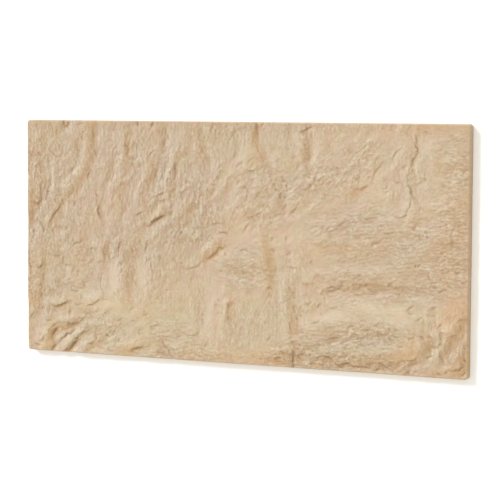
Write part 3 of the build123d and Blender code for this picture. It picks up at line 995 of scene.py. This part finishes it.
def pits(x, y):
    """Round pits, 0 to 1 deep: a bell curve of the distance to the random point of each cell,
    for about half of the cells."""
    generator = np.random.default_rng(PIT_SEED)
    place_a, place_b = generator.uniform(*PIT_PLACE, (2, CELL_COUNT, CELL_COUNT))
    depth = np.clip(generator.uniform(*PIT_DEPTH, (CELL_COUNT, CELL_COUNT)), 0, 1)
    a = x / PIT_CELL
    b = y / PIT_CELL
    column = np.floor(a).astype(int)
    row = np.floor(b).astype(int)
    total = np.zeros_like(x)
    for step_a in (-1, 0, 1):
        for step_b in (-1, 0, 1):
            i = (column + step_a) % CELL_COUNT
            j = (row + step_b) % CELL_COUNT
            gap_a = a - column - step_a - place_a[i, j]
            gap_b = b - row - step_b - place_b[i, j]
            total += depth[i, j] * np.exp(-(gap_a**2 + gap_b**2) / PIT_RADIUS**2)
    return total


# Creases
PATH_STEPS = 4  # of the smooth path for each run between two written points
BREAK_AND_SHADE_ANGLE = -45.0  # direction in which the rock broke away, which is also the way away from the key light; slopes that fall this way get painted shade
CREASE_DEPTH = 0.80  # of the depths written in the list
CREASE_TAPER = 0.25  # share of its depth that a crease keeps at its ends
TAPER_POWER = 0.7  # below 1, so that a crease is soon at its full depth
FULL_DEPTH = 2.5  # from which on its dark line of painted shade is strongest
DROP_SHARE = 0.45  # of a crease's depth, dropped from its upper left to its lower right
DROP_STEEPNESS = 1.5  # of that drop, over one half width
DROP_REACH = 3.2  # half widths over which it evens out
DROP_LIMIT = 2.2  # reaches beyond which a crease is nil
LINE_REACH = 12.0  # farthest distance from a crease that its dark line is worked out for


def smooth_path(points):
    """Points of a Catmull-Rom curve through a path, PATH_STEPS for each of its runs."""
    p = np.array(points, float)
    ends = np.vstack([2 * p[0] - p[1], p, 2 * p[-1] - p[-2]])
    t = np.linspace(0, 1, PATH_STEPS, endpoint=False)[:, None]
    runs = []
    for before, start, end, after in zip(ends[:-3], ends[1:-2], ends[2:-1], ends[3:]):
        slope = end - before
        bend = 2 * before - 5 * start + 4 * end - after
        twist = 3 * start - before - 3 * end + after
        runs.append(0.5 * (2 * start + slope * t + bend * t**2 + twist * t**3))
    return np.vstack(runs + [p[-1:]])


def crease(x, y, row):
    """A groove along a path and the ledge beside it. The groove is a bell curve of the distance
    from the path. The ledge is tanh of the distance in the break direction, dying away over its
    reach. Both taper to CREASE_TAPER at the path's ends. Returns where the crease is near, its
    height, the distance from its path, which is below 0 on the right, and its strength, 0 to 1."""
    depth, half_width, points = row
    path = smooth_path(points)
    lengths = np.hypot(*np.diff(path, axis=0).T)
    starts = np.concatenate([[0], np.cumsum(lengths)])
    reach = DROP_REACH * half_width
    low_x, low_y = path.min(axis=0) - DROP_LIMIT * reach
    high_x, high_y = path.max(axis=0) + DROP_LIMIT * reach
    near = (x > low_x) & (x < high_x) & (y > low_y) & (y < high_y)
    near_x = x[near]
    near_y = y[near]
    best = np.full(near_x.shape, np.inf)
    away_from_key = np.zeros_like(near_x)
    place = np.zeros_like(near_x)
    side = np.ones_like(near_x)
    for start, end, length, before in zip(path[:-1], path[1:], lengths, starts):
        along_x, along_y = (end - start) / length
        t = np.clip((near_x - start[0]) * along_x + (near_y - start[1]) * along_y, 0, length)
        gap_x = near_x - start[0] - t * along_x
        gap_y = near_y - start[1] - t * along_y
        gap = np.hypot(gap_x, gap_y)
        closer = gap < best
        best = np.where(closer, gap, best)
        away_from_key = np.where(closer, turned(gap_x, gap_y, BREAK_AND_SHADE_ANGLE)[0], away_from_key)
        place = np.where(closer, before + t, place)
        side = np.where(closer, np.where(along_x * gap_y > along_y * gap_x, 1, -1), side)
    middle = np.sin(np.pi * np.clip(place / starts[-1], 0, 1)) ** TAPER_POWER
    taper = CREASE_TAPER + (1 - CREASE_TAPER) * middle
    groove = taper * np.exp(-((best / half_width) ** 2))
    ledge = taper * np.tanh(DROP_STEEPNESS * away_from_key / half_width) * np.exp(-((best / reach) ** 2))
    height = -CREASE_DEPTH * depth * (groove + DROP_SHARE * ledge)
    return near, height, side * best, taper * np.minimum(depth / FULL_DEPTH, 1)


def crease_field(x, y):
    """All creases together, on paths that waver a little: their height, the distance from the
    nearest path and that crease's strength."""
    bent_x, bent_y = bent(x, y, CREASE_BENDS)
    height = np.zeros_like(x)
    line = np.full(x.shape, LINE_REACH)
    strength = np.zeros_like(x)
    for row in CREASES:
        near, drop, gap, force = crease(bent_x, bent_y, row)
        height[near] += drop
        closer = np.abs(gap) < np.abs(line[near])
        line[near] = np.where(closer, gap, line[near])
        strength[near] = np.where(closer, force, strength[near])
    return height, line, strength


# Forms of the grain: its function, length, width and height
GRAIN_FORMS = [
    (streaks, 70, 22, 0.5),
    (facets, 46, 19, 1.5),
    (facets, 19, 9, 0.675),
    (ledges, 44, 17, 1.75),
    (ledges, 26, 10, 1.05),
]
GRAIN_ANGLE = 5  # place of the grain's own angle in a row of GRAIN_AREAS
ANGLE_SEEDS = 100  # seeds kept for each of the grain's angles
FORM_SEEDS = 10  # of them, kept for each form
LEAST_SHARE = 0.001  # of all grain angles, which keeps bare places from a division by 0
GRAIN_BASE = 0.4  # height of the grain where its strength is 0
GRAIN_GAIN = 0.7  # what a strength of 1 adds to it
GRAIN_PATCH = 90  # size of the patches of higher and lower grain
GRAIN_PATCH_SEED = 701
GRAIN_LEVELS = (0.9, 0.25, 0.5, 1.3)  # mean, swing, least and most of those patches
PIT_HEIGHT = 1.3  # depth of the deepest pits in a patch of 1
PIT_BASE = 0.12  # pitting outside the pitted patches
PIT_MOST = 2  # of the pitted patches together
FINE_BASE = 0.6  # share of the paint's fine grain where the grain's strength is 0
FINE_CALM = 0.4  # share of it on smooth faces
UPRIGHT = 90  # angle of the upright grain
UPRIGHT_WITHIN = 30  # degrees from upright within which grain counts as upright
LYING_BEYOND = 70  # degrees from upright beyond which it counts as lying


def grain_field(x, y):
    """Lesser relief of the split rock. Every grain angle has its own forms, added up; where
    areas of different angles meet they are mixed by their squared shares. Returns the height,
    the share of fine grain, and the shares of upright and of lying grain."""
    bent_x, bent_y = bent(x, y, GRAIN_BENDS)
    angles = sorted({area[GRAIN_ANGLE] for area in GRAIN_AREAS})
    shares = []
    for angle in angles:
        areas = [area for area in GRAIN_AREAS if area[GRAIN_ANGLE] == angle]
        shares.append(area_sum(x, y, areas) ** 2)
    whole = sum(shares) + LEAST_SHARE
    strength = np.sqrt(whole)
    total = np.zeros_like(x)
    upright = np.zeros_like(x)
    lying = np.zeros_like(x)
    for number, (angle, share) in enumerate(zip(angles, shares), start=1):
        along, across = turned(bent_x, bent_y, angle)
        for place, (form, length, width, height) in enumerate(GRAIN_FORMS):
            seed = ANGLE_SEEDS * number + FORM_SEEDS * place
            total += height * form(along, across, length, width, seed) * share / whole
        upright += share / whole * (abs(angle - UPRIGHT) < UPRIGHT_WITHIN)
        lying += share / whole * (abs(angle - UPRIGHT) > LYING_BEYOND)
    patchy = patches(x, y, GRAIN_PATCH, GRAIN_PATCH, GRAIN_PATCH_SEED, GRAIN_LEVELS)
    calm = 1 - np.clip(area_sum(x, y, SMOOTH_AREAS), 0, 1)
    pitted = np.clip(area_sum(x, y, PITTED_AREAS), 0, PIT_MOST) + PIT_BASE
    height = (GRAIN_BASE + GRAIN_GAIN * strength) * patchy * calm * total
    height -= PIT_HEIGHT * pitted * pits(bent_x, bent_y)
    fine = FINE_BASE + (1 - FINE_BASE) * np.clip(strength, 0, 1)
    rough = fine * (FINE_CALM + (1 - FINE_CALM) * calm)
    return height, rough, upright, lying


def rim_share(x, y):
    """Share of the relief: RIM_RELIEF at the sides and 1 inside the rim band."""
    gap = np.minimum(PANEL_LENGTH / 2 - np.abs(x), PANEL_HEIGHT / 2 - np.abs(y))
    inward = np.maximum(gap, 0.0) / RIM_BAND
    return 1 - (1 - RIM_RELIEF) * np.exp(-(inward**2))


def rock_field(x, y):
    """Height of the rock face over the back, and the first of the masks that its paint follows.
    Broad forms and grain fade at the rim; the creases run out over it."""
    broad = SWELL_LIFT + area_sum(x, y, ROCK_FORMS)
    cracks, line, strength = crease_field(x, y)
    grain, rough, upright, lying = grain_field(x, y)
    height = RIM_THICKNESS + rim_share(x, y) * (broad + grain) + cracks
    height = np.minimum(height, CAD_BOX[1].z / MM + TOP_MARGIN)
    masks = {"line": line, "crease": strength, "rough": rough, "upright": upright, "lying": lying}
    return height, masks


# Grid of the rock face
INNER_X = PANEL_LENGTH / 2 - FRONT_ROUNDING
INNER_Y = PANEL_HEIGHT / 2 - FRONT_ROUNDING
INNER_RADIUS = CORNER_RADIUS - FRONT_ROUNDING
CELLS_ALONG = 418
CELLS_UP = 209
CELL_SIZE = 2 * INNER_X / CELLS_ALONG
BELL_REACH = 3  # reaches of a bell curve on each side that an average takes in

# Masks that the paint follows, which carry much of its painted shade and highlight. Reaches are in
# cells, and depths in millimetres.
BROAD_SHADE_REACH = 5.0  # of the average whose slope is the broad slope, which sets the broad painted shade and highlight
CLOSE_SHADE_REACH = 1.5  # of the average whose slope, less the broad slope, is the close slope, which sets the close painted shade and highlight
HOLLOW_REACH = 1.6  # of the average that narrow hollows lie under
HOLLOW_DEPTH = 1.6  # from the highest to the deepest of them
DIP_REACH = 6.0  # of the average that wide dips lie under
DIP_DEPTH = 5.0  # from the highest to the deepest of them
LEVEL = 0.5  # value of those two masks on level rock
RESTS = {"hollow": LEVEL, "dip": LEVEL, "line": LINE_REACH}  # values of masks on the bare back


def face_grid():
    """Places of the rock face's grid: even over the outline inset by its rounding, whose corner
    squares are bent to quarter discs by (a sqrt(1 - b^2/2), b sqrt(1 - a^2/2))."""
    x, y = np.meshgrid(
        np.linspace(-INNER_X, INNER_X, CELLS_ALONG + 1),
        np.linspace(-INNER_Y, INNER_Y, CELLS_UP + 1),
        indexing="ij",
    )
    centre_x = np.sign(x) * (INNER_X - INNER_RADIUS)
    centre_y = np.sign(y) * (INNER_Y - INNER_RADIUS)
    a = (x - centre_x) / INNER_RADIUS
    b = (y - centre_y) / INNER_RADIUS
    corner = (np.abs(x) > np.abs(centre_x)) & (np.abs(y) > np.abs(centre_y))
    x = np.where(corner, centre_x + INNER_RADIUS * a * np.sqrt(1 - b**2 / 2), x)
    y = np.where(corner, centre_y + INNER_RADIUS * b * np.sqrt(1 - a**2 / 2), y)
    return x, y


def softened(values, reach):
    """Values of a grid, averaged by a bell curve that many cells wide both ways."""
    size = int(BELL_REACH * reach)
    weights = np.exp(-0.5 * (np.arange(-size, size + 1) / reach) ** 2)
    weights /= weights.sum()
    for axis in (0, 1):
        padding = [(size, size) if axis == k else (0, 0) for k in (0, 1)]
        padded = np.pad(values, padding, mode="edge")
        places = np.arange(values.shape[axis])
        values = sum(
            weight * np.take(padded, places + k, axis=axis) for k, weight in enumerate(weights)
        )
    return values


def shade_slope(height):
    """Slope of a grid of heights, above 0 where it falls in the break direction, away from the key
    light: the side that the paint shades.
    """
    slope_x = np.gradient(height, axis=0) / CELL_SIZE
    slope_y = np.gradient(height, axis=1) / CELL_SIZE
    return -turned(slope_x, slope_y, BREAK_AND_SHADE_ANGLE)[0]


def paint_masks(x, y, z):
    """Masks of the paint from the rock's slopes and hollows, and from the written areas. The slope masks
    give painted shade on slopes that fall away from the key light and painted highlight on those that
    face it; the hollow, dip and stain masks carry painted shade and highlight in part. A hollow or dip
    is LEVEL less its height over the average around it, in its own depths."""
    wide = softened(z, BROAD_SHADE_REACH)
    return {
        "broad_shade_slope": shade_slope(wide),
        "away_from_key": shade_slope(softened(z, CLOSE_SHADE_REACH) - wide),
        "hollow": np.clip(LEVEL - (z - softened(z, HOLLOW_REACH)) / HOLLOW_DEPTH, 0, 1),
        "dip": np.clip(LEVEL - (z - softened(z, DIP_REACH)) / DIP_DEPTH, 0, 1),
        "stain_and_painted_light": np.clip(area_sum(x, y, STAINS_AND_PAINTED_LIGHT), -1, 1),
        "tint": np.clip(area_sum(x, y, TINTS), -1, 1),
        "rust": np.clip(area_sum(x, y, RUST), 0, 1),
    }


# Back and sides
ROUNDING_TURNS = (22.5, 45, 67.5, 90)  # of the rings over the front rounding, in degrees
BACK_INSET = 4.0  # from the rock face's boundary inwards to the last ring of the back


def panel_mesh():
    """The panel as one closed mesh. The rock face is a grid. Its boundary is carried down over
    the rounding, the side and the chamfer and in over the back as closed rings, each of them the
    boundary moved straight outwards by an offset, and they end in one middle point."""
    x, y = face_grid()
    z, masks = rock_field(x, y)
    masks.update(paint_masks(x, y, z))

    index = np.arange(x.size).reshape(x.shape)
    loop = np.concatenate([index[:-1, 0], index[-1, :-1], index[:0:-1, -1], index[0, :0:-1]])
    loop_x = x.ravel()[loop]
    loop_y = y.ravel()[loop]
    loop_z = z.ravel()[loop]
    out_x = loop_x - np.clip(loop_x, INNER_RADIUS - INNER_X, INNER_X - INNER_RADIUS)
    out_y = loop_y - np.clip(loop_y, INNER_RADIUS - INNER_Y, INNER_Y - INNER_RADIUS)
    reach = np.hypot(out_x, out_y)
    out_x /= reach
    out_y /= reach

    side_top = loop_z - FRONT_ROUNDING
    back = np.zeros_like(loop_z)
    rings = [
        (FRONT_ROUNDING * np.sin(turn), side_top + FRONT_ROUNDING * np.cos(turn))
        for turn in np.radians(ROUNDING_TURNS)
    ]
    rings.append((FRONT_ROUNDING, (side_top + BACK_CHAMFER) / 2))
    rings.append((FRONT_ROUNDING, back + BACK_CHAMFER))
    rings.append((FRONT_ROUNDING - BACK_CHAMFER, back))
    rings.append((-BACK_INSET, back))
    points = [np.column_stack([x.ravel(), y.ravel(), z.ravel()])]
    for offset, ring_z in rings:
        points.append(np.column_stack([loop_x + out_x * offset, loop_y + out_y * offset, ring_z]))
    middle = np.zeros((1, 3))
    points = np.vstack(points + [middle]) * MM

    corners = (index[:-1, :-1], index[1:, :-1], index[1:, 1:], index[:-1, 1:])
    quads = [np.column_stack([corner.ravel() for corner in corners])]
    ring = loop
    for number in range(len(rings)):
        below = x.size + number * loop.size + np.arange(loop.size)
        quads.append(np.column_stack([ring, below, np.roll(below, -1), np.roll(ring, -1)]))
        ring = below
    fan = np.column_stack([ring, np.full(loop.size, len(points) - 1), np.roll(ring, -1)])
    faces = np.vstack(quads).tolist() + fan.tolist()

    mesh = bpy.data.meshes.new(PIECE)
    mesh.from_pydata(points.tolist(), [], faces)
    mesh.polygons.foreach_set("use_smooth", np.ones(len(faces), bool))
    for name, values in masks.items():
        rest = RESTS.get(name, 0.0)
        edge = values.ravel()[loop]
        if name != "line":
            edge = (edge + rest) / 2
        whole = np.concatenate([values.ravel(), np.tile(edge, len(rings)), [rest]])
        layer = mesh.attributes.new(name, "FLOAT", "POINT")
        layer.data.foreach_set("value", whole.astype(np.float32))
    return mesh


# Sockets of a Mix node that mixes colours
FIRST_COLOUR = 6
SECOND_COLOUR = 7
MIXED_COLOUR = 2


def place_node(tree, kind, settings, inputs):
    """A new shader node with these settings. Each input takes a value, or a link from a socket."""
    node = tree.nodes.new(kind)
    for name, value in settings.items():
        setattr(node, name, value)
    for name, value in inputs.items():
        if isinstance(value, bpy.types.NodeSocket):
            tree.links.new(value, node.inputs[name])
        else:
            node.inputs[name].default_value = value
    return node


# Colours of the paint
SAND = (0.605, 0.481, 0.350, 1)
SHADE_AMBER = (0.680, 0.465, 0.250, 1)
PEACH = (0.700, 0.465, 0.285, 1)
HIGHLIGHT_CHALK = (0.585, 0.495, 0.410, 1)
CREAM = (0.600, 0.520, 0.345, 1)
PINK = (0.645, 0.475, 0.360, 1)
PALE = (0.745, 0.645, 0.490, 1)
BROWN = (0.490, 0.308, 0.160, 1)
CRACK_SHADE = (0.300, 0.175, 0.085, 1)

# Noises of the paint: scale, detail and roughness
WANDER = (38, 5, 0.7)
BLOTCH = (30, 4, 0.65)
FRECKLE = (48, 3, 0.6)
SPECKLE = (330, 4, 0.6)

# How the noises act: from a low to a high of the noise, what that is taken as
WANDER_TO_TINT = (0.3, 0.7, -1.6, 1.6)
BLOTCH_TO_RUST = (0.3, 0.6, 0.5, 1.1)
BLOTCH_TO_STAIN = (0.32, 0.6, 0.45, 1.0)
FRECKLE_TO_STAIN = (0.45, 0.75, 0.0, 0.35)
FULL_TINT = 1.2  # tint at which the cream or pink is whole

# Coats of painted shade and highlight, in dips and hollows partly a wash of the paint: mask, its value
# where the coat starts, its value where the coat is strongest, how strong it is there and its colour
SHADE_AND_HIGHLIGHT_COATS = [
    # Below 0 the stain mask gives pale painted highlights on faces that catch the key light
    ("stain_and_painted_light", 0.0, -1.0, 0.80, PALE),
    # Slope coats are painted light: amber and brown painted shade where the rock falls away from the key
    # light, chalk and pale painted highlight where it faces it
    ("broad_shade_slope", 0.0, 0.12, 0.90, SHADE_AMBER),
    ("broad_shade_slope", 0.0, -0.12, 0.90, HIGHLIGHT_CHALK),
    ("away_from_key", 0.0, 0.35, 0.70, BROWN),
    ("away_from_key", 0.0, -0.35, 0.95, PALE),
    # Dips and hollows go brown and raised parts pale: partly a darker wash that the paint keeps in its
    # hollows, partly painted shade in the hollows and painted highlight on the raised parts
    ("dip", 0.5, 1.0, 0.40, BROWN),
    ("dip", 0.5, 0.0, 0.40, PALE),
    ("hollow", 0.52, 1.0, 0.35, BROWN),
    ("hollow", 0.48, 0.0, 0.40, PALE),
]
FINE_SHADE_AND_HIGHLIGHT_COATS = [(0.5, 0.0, 0.28, BROWN), (0.5, 1.0, 0.35, PALE)]  # the same, on the fine grain: painted shade, partly a brown deposit, in its low parts at each drop, and painted highlight on its tops

# Fine grain of the paint: angle, length and width for the upright, lying and slanted shares
UPRIGHT_GRAIN = (84, 13, 7)
LYING_GRAIN = (8, 13, 7)
SLANTED_GRAIN = (45, 12, 8)
FINE_NOISE = {"Scale": 1.0, "Detail": 3, "Roughness": 0.65, "Distortion": 0.6}
FINE_WANDER = 8.0  # widths by which its edges wander
FINE_RISE = 0.75  # share of a width over which it rises, before it drops
FINE_DEPTH = 0.0010  # in metres
SPECKLE_DEPTH = 0.0008
SPECKLE_STRENGTH = 0.5

# Dark lines of the cracks: painted shade in them, with some dirt
CRACK_WIDTH = 1.5  # half width of the line
CRACK_DARKNESS = 0.5
CRACK_DEPTH = 1.4  # in depths of the fine grain

# Surface of the paint
ROUGHNESS = 0.9
SPECULAR = 0.25


def stone_finish():
    """Matt sandstone paint. Its colour follows the masks that the mesh carries, with painted shade and
    highlight from the slopes, hollows, stains and cracks beside its stains and tints, and its finest
    grain is a bump on top of the mesh's relief."""
    material = bpy.data.materials.new("sandstone_finish")
    material.use_nodes = True
    tree = material.node_tree
    coords = place_node(tree, "ShaderNodeTexCoord", {}, {}).outputs["Object"]

    def mask(name):
        return place_node(tree, "ShaderNodeAttribute", {"attribute_name": name}, {}).outputs["Fac"]

    def noise(scale, detail, rough):
        inputs = {"Vector": coords, "Scale": scale, "Detail": detail, "Roughness": rough}
        return place_node(tree, "ShaderNodeTexNoise", {}, inputs).outputs["Fac"]

    def spread(value, low, high, new_low=0.0, new_high=1.0):
        inputs = {"Value": value, "From Min": low, "From Max": high}
        inputs.update({"To Min": new_low, "To Max": new_high})
        return place_node(tree, "ShaderNodeMapRange", {}, inputs).outputs["Result"]

    def mix(share, first, second):
        inputs = {"Factor": share, FIRST_COLOUR: first, SECOND_COLOUR: second}
        return place_node(tree, "ShaderNodeMix", {"data_type": "RGBA"}, inputs).outputs[MIXED_COLOUR]

    def reckon(operation, *values):
        inputs = dict(enumerate(values))
        return place_node(tree, "ShaderNodeMath", {"operation": operation}, inputs).outputs[0]

    def fine_grain(angle, length, width):
        """Fine ledges, 0 to 1 high: a phase of the distance across plus noise, which rises over
        FINE_RISE of each unit and then drops."""
        turn = {"Vector": coords, "Rotation": (0, 0, radians(-angle))}
        turned_coords = place_node(tree, "ShaderNodeMapping", {}, turn).outputs["Vector"]
        size = {"Vector": turned_coords, "Scale": (1 / (length * MM), 1 / (width * MM), 0)}
        cells = place_node(tree, "ShaderNodeMapping", {}, size).outputs["Vector"]
        inputs = {"Vector": cells, **FINE_NOISE}
        wander = place_node(tree, "ShaderNodeTexNoise", {}, inputs).outputs["Fac"]
        across = place_node(tree, "ShaderNodeSeparateXYZ", {}, {"Vector": cells}).outputs["Y"]
        phase = reckon("SUBTRACT", reckon("MULTIPLY", wander, FINE_WANDER), across)
        part = reckon("FRACT", phase)
        rise = reckon("MULTIPLY", part, 1 / FINE_RISE)
        drop = reckon("MULTIPLY", reckon("SUBTRACT", 1.0, part), 1 / (1 - FINE_RISE))
        return reckon("MINIMUM", rise, drop)

    # Ground colour, rust, and stains with painted shade where they lie in hollows
    tint = reckon("ADD", mask("tint"), spread(noise(*WANDER), *WANDER_TO_TINT))
    colour = mix(spread(tint, 0.0, FULL_TINT), SAND, CREAM)
    colour = mix(spread(tint, 0.0, -FULL_TINT), colour, PINK)
    blotch = noise(*BLOTCH)
    rust = reckon("MULTIPLY", mask("rust"), spread(blotch, *BLOTCH_TO_RUST))
    colour = mix(rust, colour, PEACH)
    stain_and_painted_light = reckon("ADD", mask("stain_and_painted_light"), spread(noise(*FRECKLE), *FRECKLE_TO_STAIN))
    stain_and_painted_light = reckon("MULTIPLY", spread(stain_and_painted_light, 0.0, 1.0), spread(blotch, *BLOTCH_TO_STAIN))
    colour = mix(stain_and_painted_light, colour, BROWN)

    # Coats over slopes, dips and hollows: painted shade and highlight, in dips and hollows partly a wash
    # of the paint
    for name, start, end, strength, paint in SHADE_AND_HIGHLIGHT_COATS:
        colour = mix(spread(mask(name), start, end, 0.0, strength), colour, paint)

    # Cracks: a line of painted shade, with some dirt, whose share is exp of minus the squared distance
    # in half widths
    gap = reckon("DIVIDE", mask("line"), CRACK_WIDTH)
    crack = reckon("EXPONENT", reckon("MULTIPLY", reckon("MULTIPLY", gap, gap), -1.0))
    crack = reckon("MULTIPLY", crack, mask("crease"))
    colour = mix(reckon("MULTIPLY", crack, CRACK_DARKNESS), colour, CRACK_SHADE)

    # Fine grain
    upright = mask("upright")
    lying = mask("lying")
    slanted = reckon("SUBTRACT", 1.0, reckon("ADD", upright, lying))
    height = reckon("MULTIPLY", fine_grain(*UPRIGHT_GRAIN), upright)
    height = reckon("ADD", height, reckon("MULTIPLY", fine_grain(*LYING_GRAIN), lying))
    height = reckon("ADD", height, reckon("MULTIPLY", fine_grain(*SLANTED_GRAIN), slanted))
    height = reckon("MULTIPLY", height, mask("rough"))
    # Fine grain: painted shade, partly a brown deposit, at the foot of each drop and painted highlight
    # on its tops
    for start, end, strength, paint in FINE_SHADE_AND_HIGHLIGHT_COATS:
        colour = mix(spread(height, start, end, 0.0, strength), colour, paint)
    height = reckon("SUBTRACT", height, reckon("MULTIPLY", crack, CRACK_DEPTH))
    bump = {"Strength": 1.0, "Distance": FINE_DEPTH, "Height": height}
    normal = place_node(tree, "ShaderNodeBump", {}, bump).outputs["Normal"]
    bump = {"Strength": SPECKLE_STRENGTH, "Distance": SPECKLE_DEPTH}
    bump.update({"Height": noise(*SPECKLE), "Normal": normal})
    normal = place_node(tree, "ShaderNodeBump", {}, bump).outputs["Normal"]

    shader = tree.nodes["Principled BSDF"]
    shader.inputs["Roughness"].default_value = ROUGHNESS
    shader.inputs["Specular IOR Level"].default_value = SPECULAR
    tree.links.new(colour, shader.inputs["Base Color"])
    tree.links.new(normal, shader.inputs["Normal"])
    return material


# Camera, solved from the panel's outline: place in metres, turns in degrees, and the lens and
# sensor in millimetres
CAMERA_PLACE = (1.898, 0.350, 4.083)
CAMERA_TURN = (-4.538, 24.632, 0.307)
CAMERA_LENS = 131.03
CAMERA_SENSOR = 36.0


def build_camera():
    """The photograph's camera."""
    data = bpy.data.cameras.new("camera")
    data.lens = CAMERA_LENS
    data.sensor_width = CAMERA_SENSOR
    camera = bpy.data.objects.new("camera", data)
    camera.location = CAMERA_PLACE
    camera.rotation_euler = [radians(angle) for angle in CAMERA_TURN]
    bpy.context.scene.collection.objects.link(camera)
    bpy.context.scene.camera = camera


# Light: a soft key from the panel's upper left and an even fill from all round
KEY_FROM = (-1.0, 0.9, 1.0)
KEY_SPREAD = 18.0  # in degrees
KEY_STRENGTH = 2.50
KEY_COLOUR = (0.96, 1.0, 1.10)
FILL_STRENGTH = 0.75
FILL_COLOUR = (1.06, 1.0, 0.88, 1)

# Floor, in metres
FLOOR_SIZE = 60.0
FLOOR_DROP = 0.0006  # below the panel's back
FLOOR_COLOUR = (0.86, 0.86, 0.86, 1)
FLOOR_GLOW = 0.22  # towards the camera alone, so that the floor is white behind the panel
WHITE = (1, 1, 1, 1)


def build_key():
    """A sun lamp that points from KEY_FROM to the panel."""
    data = bpy.data.lights.new("key", "SUN")
    data.angle = radians(KEY_SPREAD)
    data.energy = KEY_STRENGTH
    data.color = KEY_COLOUR
    light = bpy.data.objects.new("key", data)
    light.rotation_euler = Vector(KEY_FROM).to_track_quat("Z", "Y").to_euler()
    bpy.context.scene.collection.objects.link(light)


def build_floor():
    """A plain pale floor that keeps the panel's shadow."""
    bpy.ops.mesh.primitive_plane_add(size=FLOOR_SIZE, location=(0, 0, -FLOOR_DROP))
    floor = bpy.context.object
    floor.name = "floor"
    material = bpy.data.materials.new("floor")
    material.use_nodes = True
    tree = material.node_tree
    camera_sees = place_node(tree, "ShaderNodeLightPath", {}, {}).outputs["Is Camera Ray"]
    glow = place_node(tree, "ShaderNodeMath", {"operation": "MULTIPLY"}, {0: camera_sees, 1: FLOOR_GLOW})
    shader = tree.nodes["Principled BSDF"]
    shader.inputs["Base Color"].default_value = FLOOR_COLOUR
    shader.inputs["Roughness"].default_value = 1.0
    shader.inputs["Specular IOR Level"].default_value = 0.0
    shader.inputs["Emission Color"].default_value = WHITE
    tree.links.new(glow.outputs[0], shader.inputs["Emission Strength"])
    floor.data.materials.append(material)


def build_fill():
    """Even light from all round, which the camera sees as plain white."""
    world = bpy.data.worlds.new("studio")
    world.use_nodes = True
    bpy.context.scene.world = world
    tree = world.node_tree
    camera_sees = place_node(tree, "ShaderNodeLightPath", {}, {}).outputs["Is Camera Ray"]
    inputs = {"Factor": camera_sees, FIRST_COLOUR: FILL_COLOUR, SECOND_COLOUR: WHITE}
    colour = place_node(tree, "ShaderNodeMix", {"data_type": "RGBA"}, inputs)
    inputs = {0: camera_sees, 1: FILL_STRENGTH}
    strength = place_node(tree, "ShaderNodeMath", {"operation": "MAXIMUM"}, inputs)
    background = tree.nodes["Background"]
    tree.links.new(colour.outputs[MIXED_COLOUR], background.inputs["Color"])
    tree.links.new(strength.outputs[0], background.inputs["Strength"])


build_camera()
build_floor()
build_fill()
build_key()

panel = bpy.data.objects.new(PIECE, panel_mesh())
bpy.context.scene.collection.objects.link(panel)
panel.data.materials.append(stone_finish())
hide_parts(NODE)
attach(panel, "root")

bpy.context.scene.view_settings.view_transform = "Standard"
